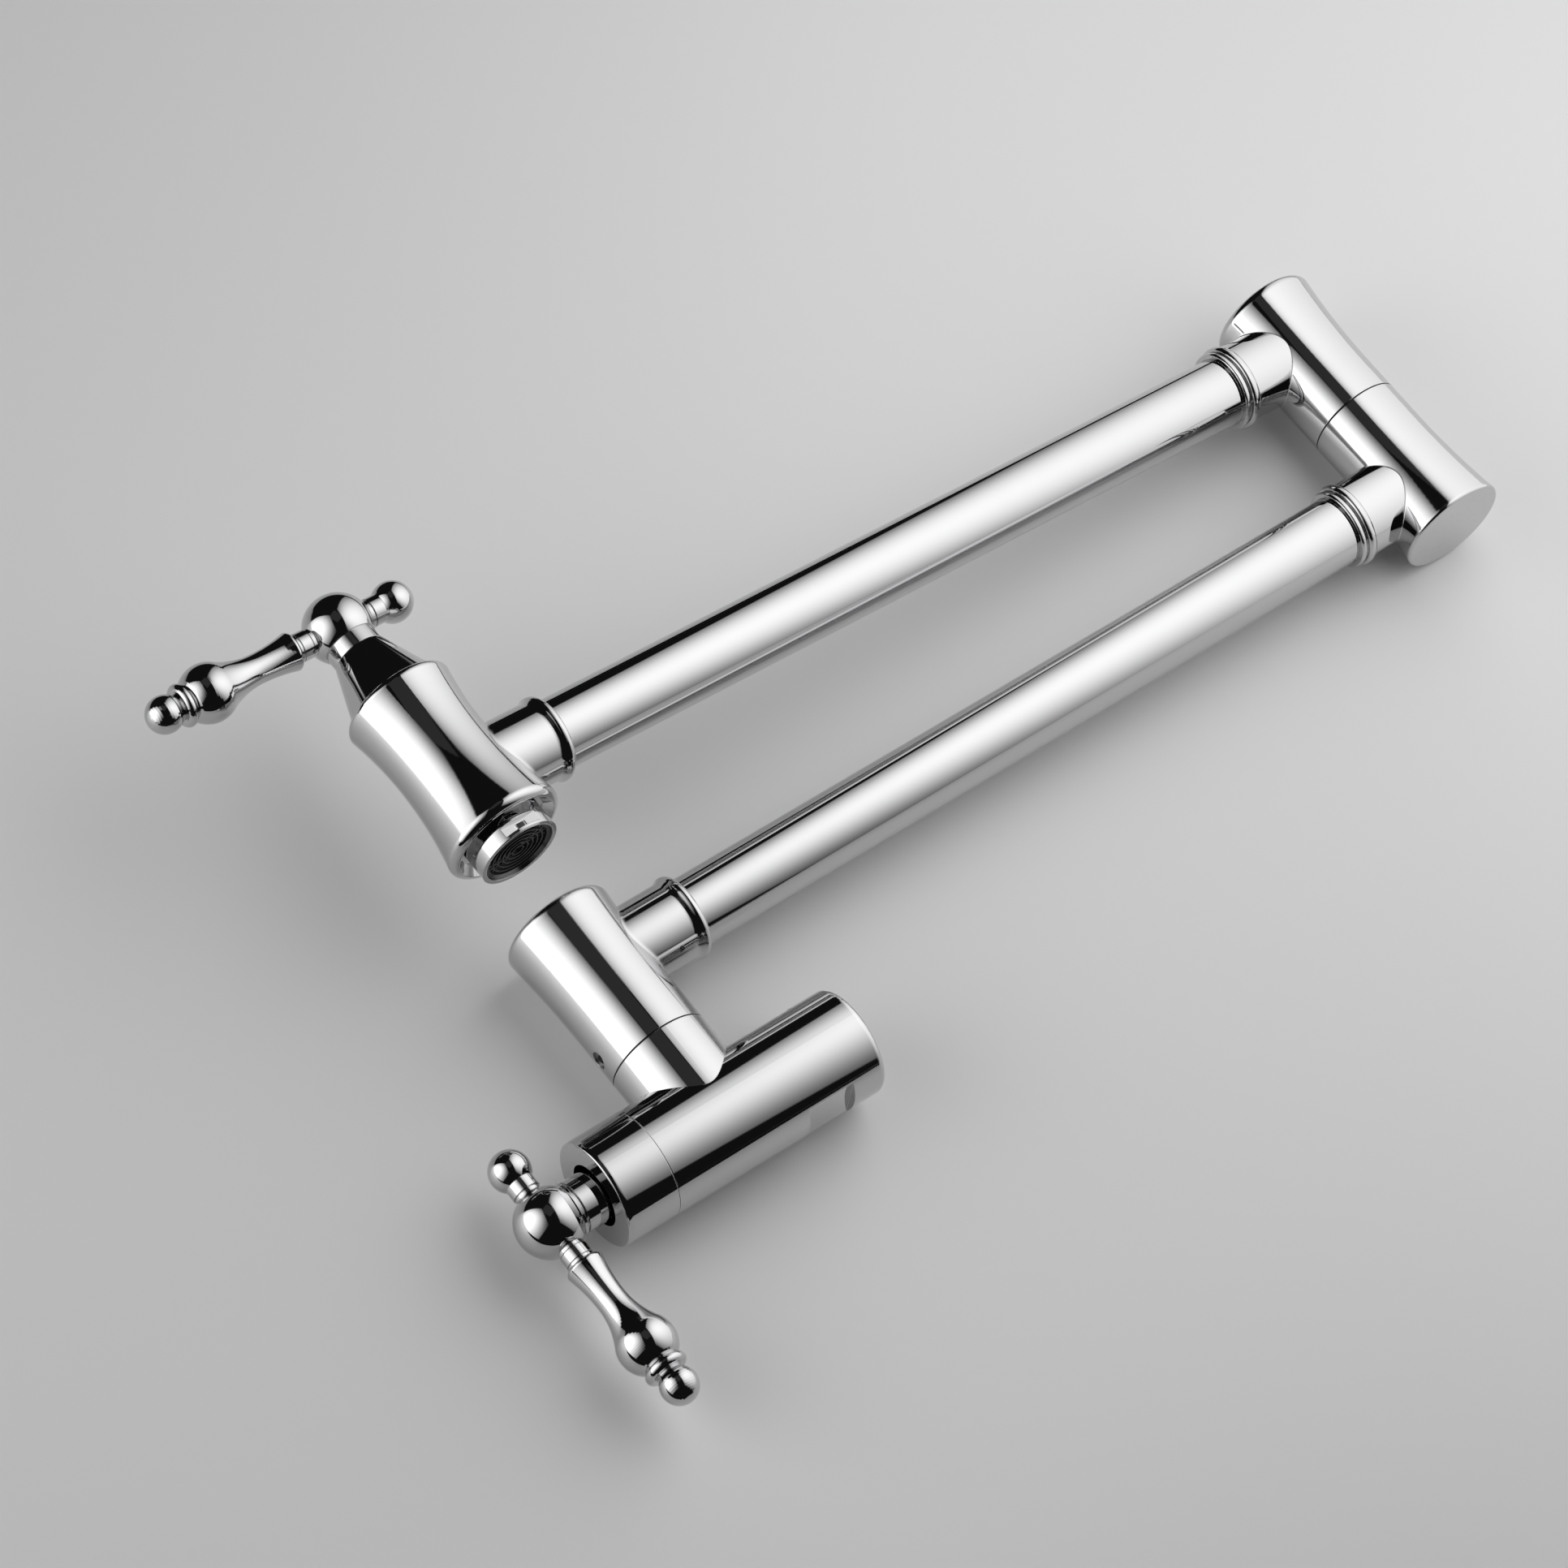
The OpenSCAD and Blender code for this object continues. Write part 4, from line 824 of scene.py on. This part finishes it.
class FAUCET_OT_stage(bpy.types.Operator):
    """Lay the sheet, hang the softboxes and set the photograph's camera"""

    bl_idname = "faucet.stage"
    bl_label = "Studio and camera"

    def execute(self, context):
        studio = context.scene.pot_filler_studio
        centre = (cad_box[0] + cad_box[1]) / 2
        lay_sheet(studio)
        lay_cards(studio, context.scene.pot_filler_camera)
        for name in SOFTBOXES:
            hang_softbox(name, getattr(studio, name), centre, studio.softbox_room)
        dark_room(studio, centre)
        background(studio)
        set_camera(context.scene.pot_filler_camera)
        context.scene.view_settings.view_transform = "Standard"
        return {"FINISHED"}


def draw_settings(box, settings):
    """Every value of a group, with each group inside it in a box of its own."""
    for name in settings.__annotations__:
        value = getattr(settings, name)
        if isinstance(value, bpy.types.PropertyGroup):
            inner = box.box()
            inner.label(text=name.replace("_", " ").capitalize())
            draw_settings(inner, value)
        else:
            box.prop(settings, name)


class FAUCET_PT_panel(bpy.types.Panel):
    """The faucet's pieces and studio in the sidebar"""

    bl_idname = "FAUCET_PT_panel"
    bl_label = "Pot Filler"
    bl_space_type = "VIEW_3D"
    bl_region_type = "UI"
    bl_category = "Pot Filler"

    def draw(self, context):
        for operator in OPERATORS:
            self.layout.operator(operator.bl_idname)
        for name in SETTINGS:
            draw_settings(self.layout.box(), getattr(context.scene, name))


SETTINGS = {
    "pot_filler_finish": PotFillerFinish,
    "pot_filler_studio": PotFillerStudio,
    "pot_filler_camera": PotFillerCamera,
}
OPERATORS = [
    FAUCET_OT_stage, FAUCET_OT_tubes, FAUCET_OT_castings, FAUCET_OT_handles,
    FAUCET_OT_inner_metal, FAUCET_OT_seals, FAUCET_OT_aerator_insert,
]
CLASSES = [*SOFTBOXES.values(), *SETTINGS.values(), *OPERATORS, FAUCET_PT_panel]


def register():
    """Adds the operators, the panel and the scene's settings."""
    for made in CLASSES:
        bpy.utils.register_class(made)
    for name, group in SETTINGS.items():
        setattr(bpy.types.Scene, name, PointerProperty(type=group))


def unregister():
    """Takes them all away again."""
    for name in SETTINGS:
        delattr(bpy.types.Scene, name)
    for made in reversed(CLASSES):
        bpy.utils.unregister_class(made)


def main():
    """Dresses the whole faucet."""
    register()
    bpy.ops.faucet.stage()
    bpy.ops.faucet.tubes()
    bpy.ops.faucet.castings()
    bpy.ops.faucet.handles()
    bpy.ops.faucet.inner_metal()
    bpy.ops.faucet.seals()
    bpy.ops.faucet.aerator_insert()


if __name__ == "__main__":
    main()
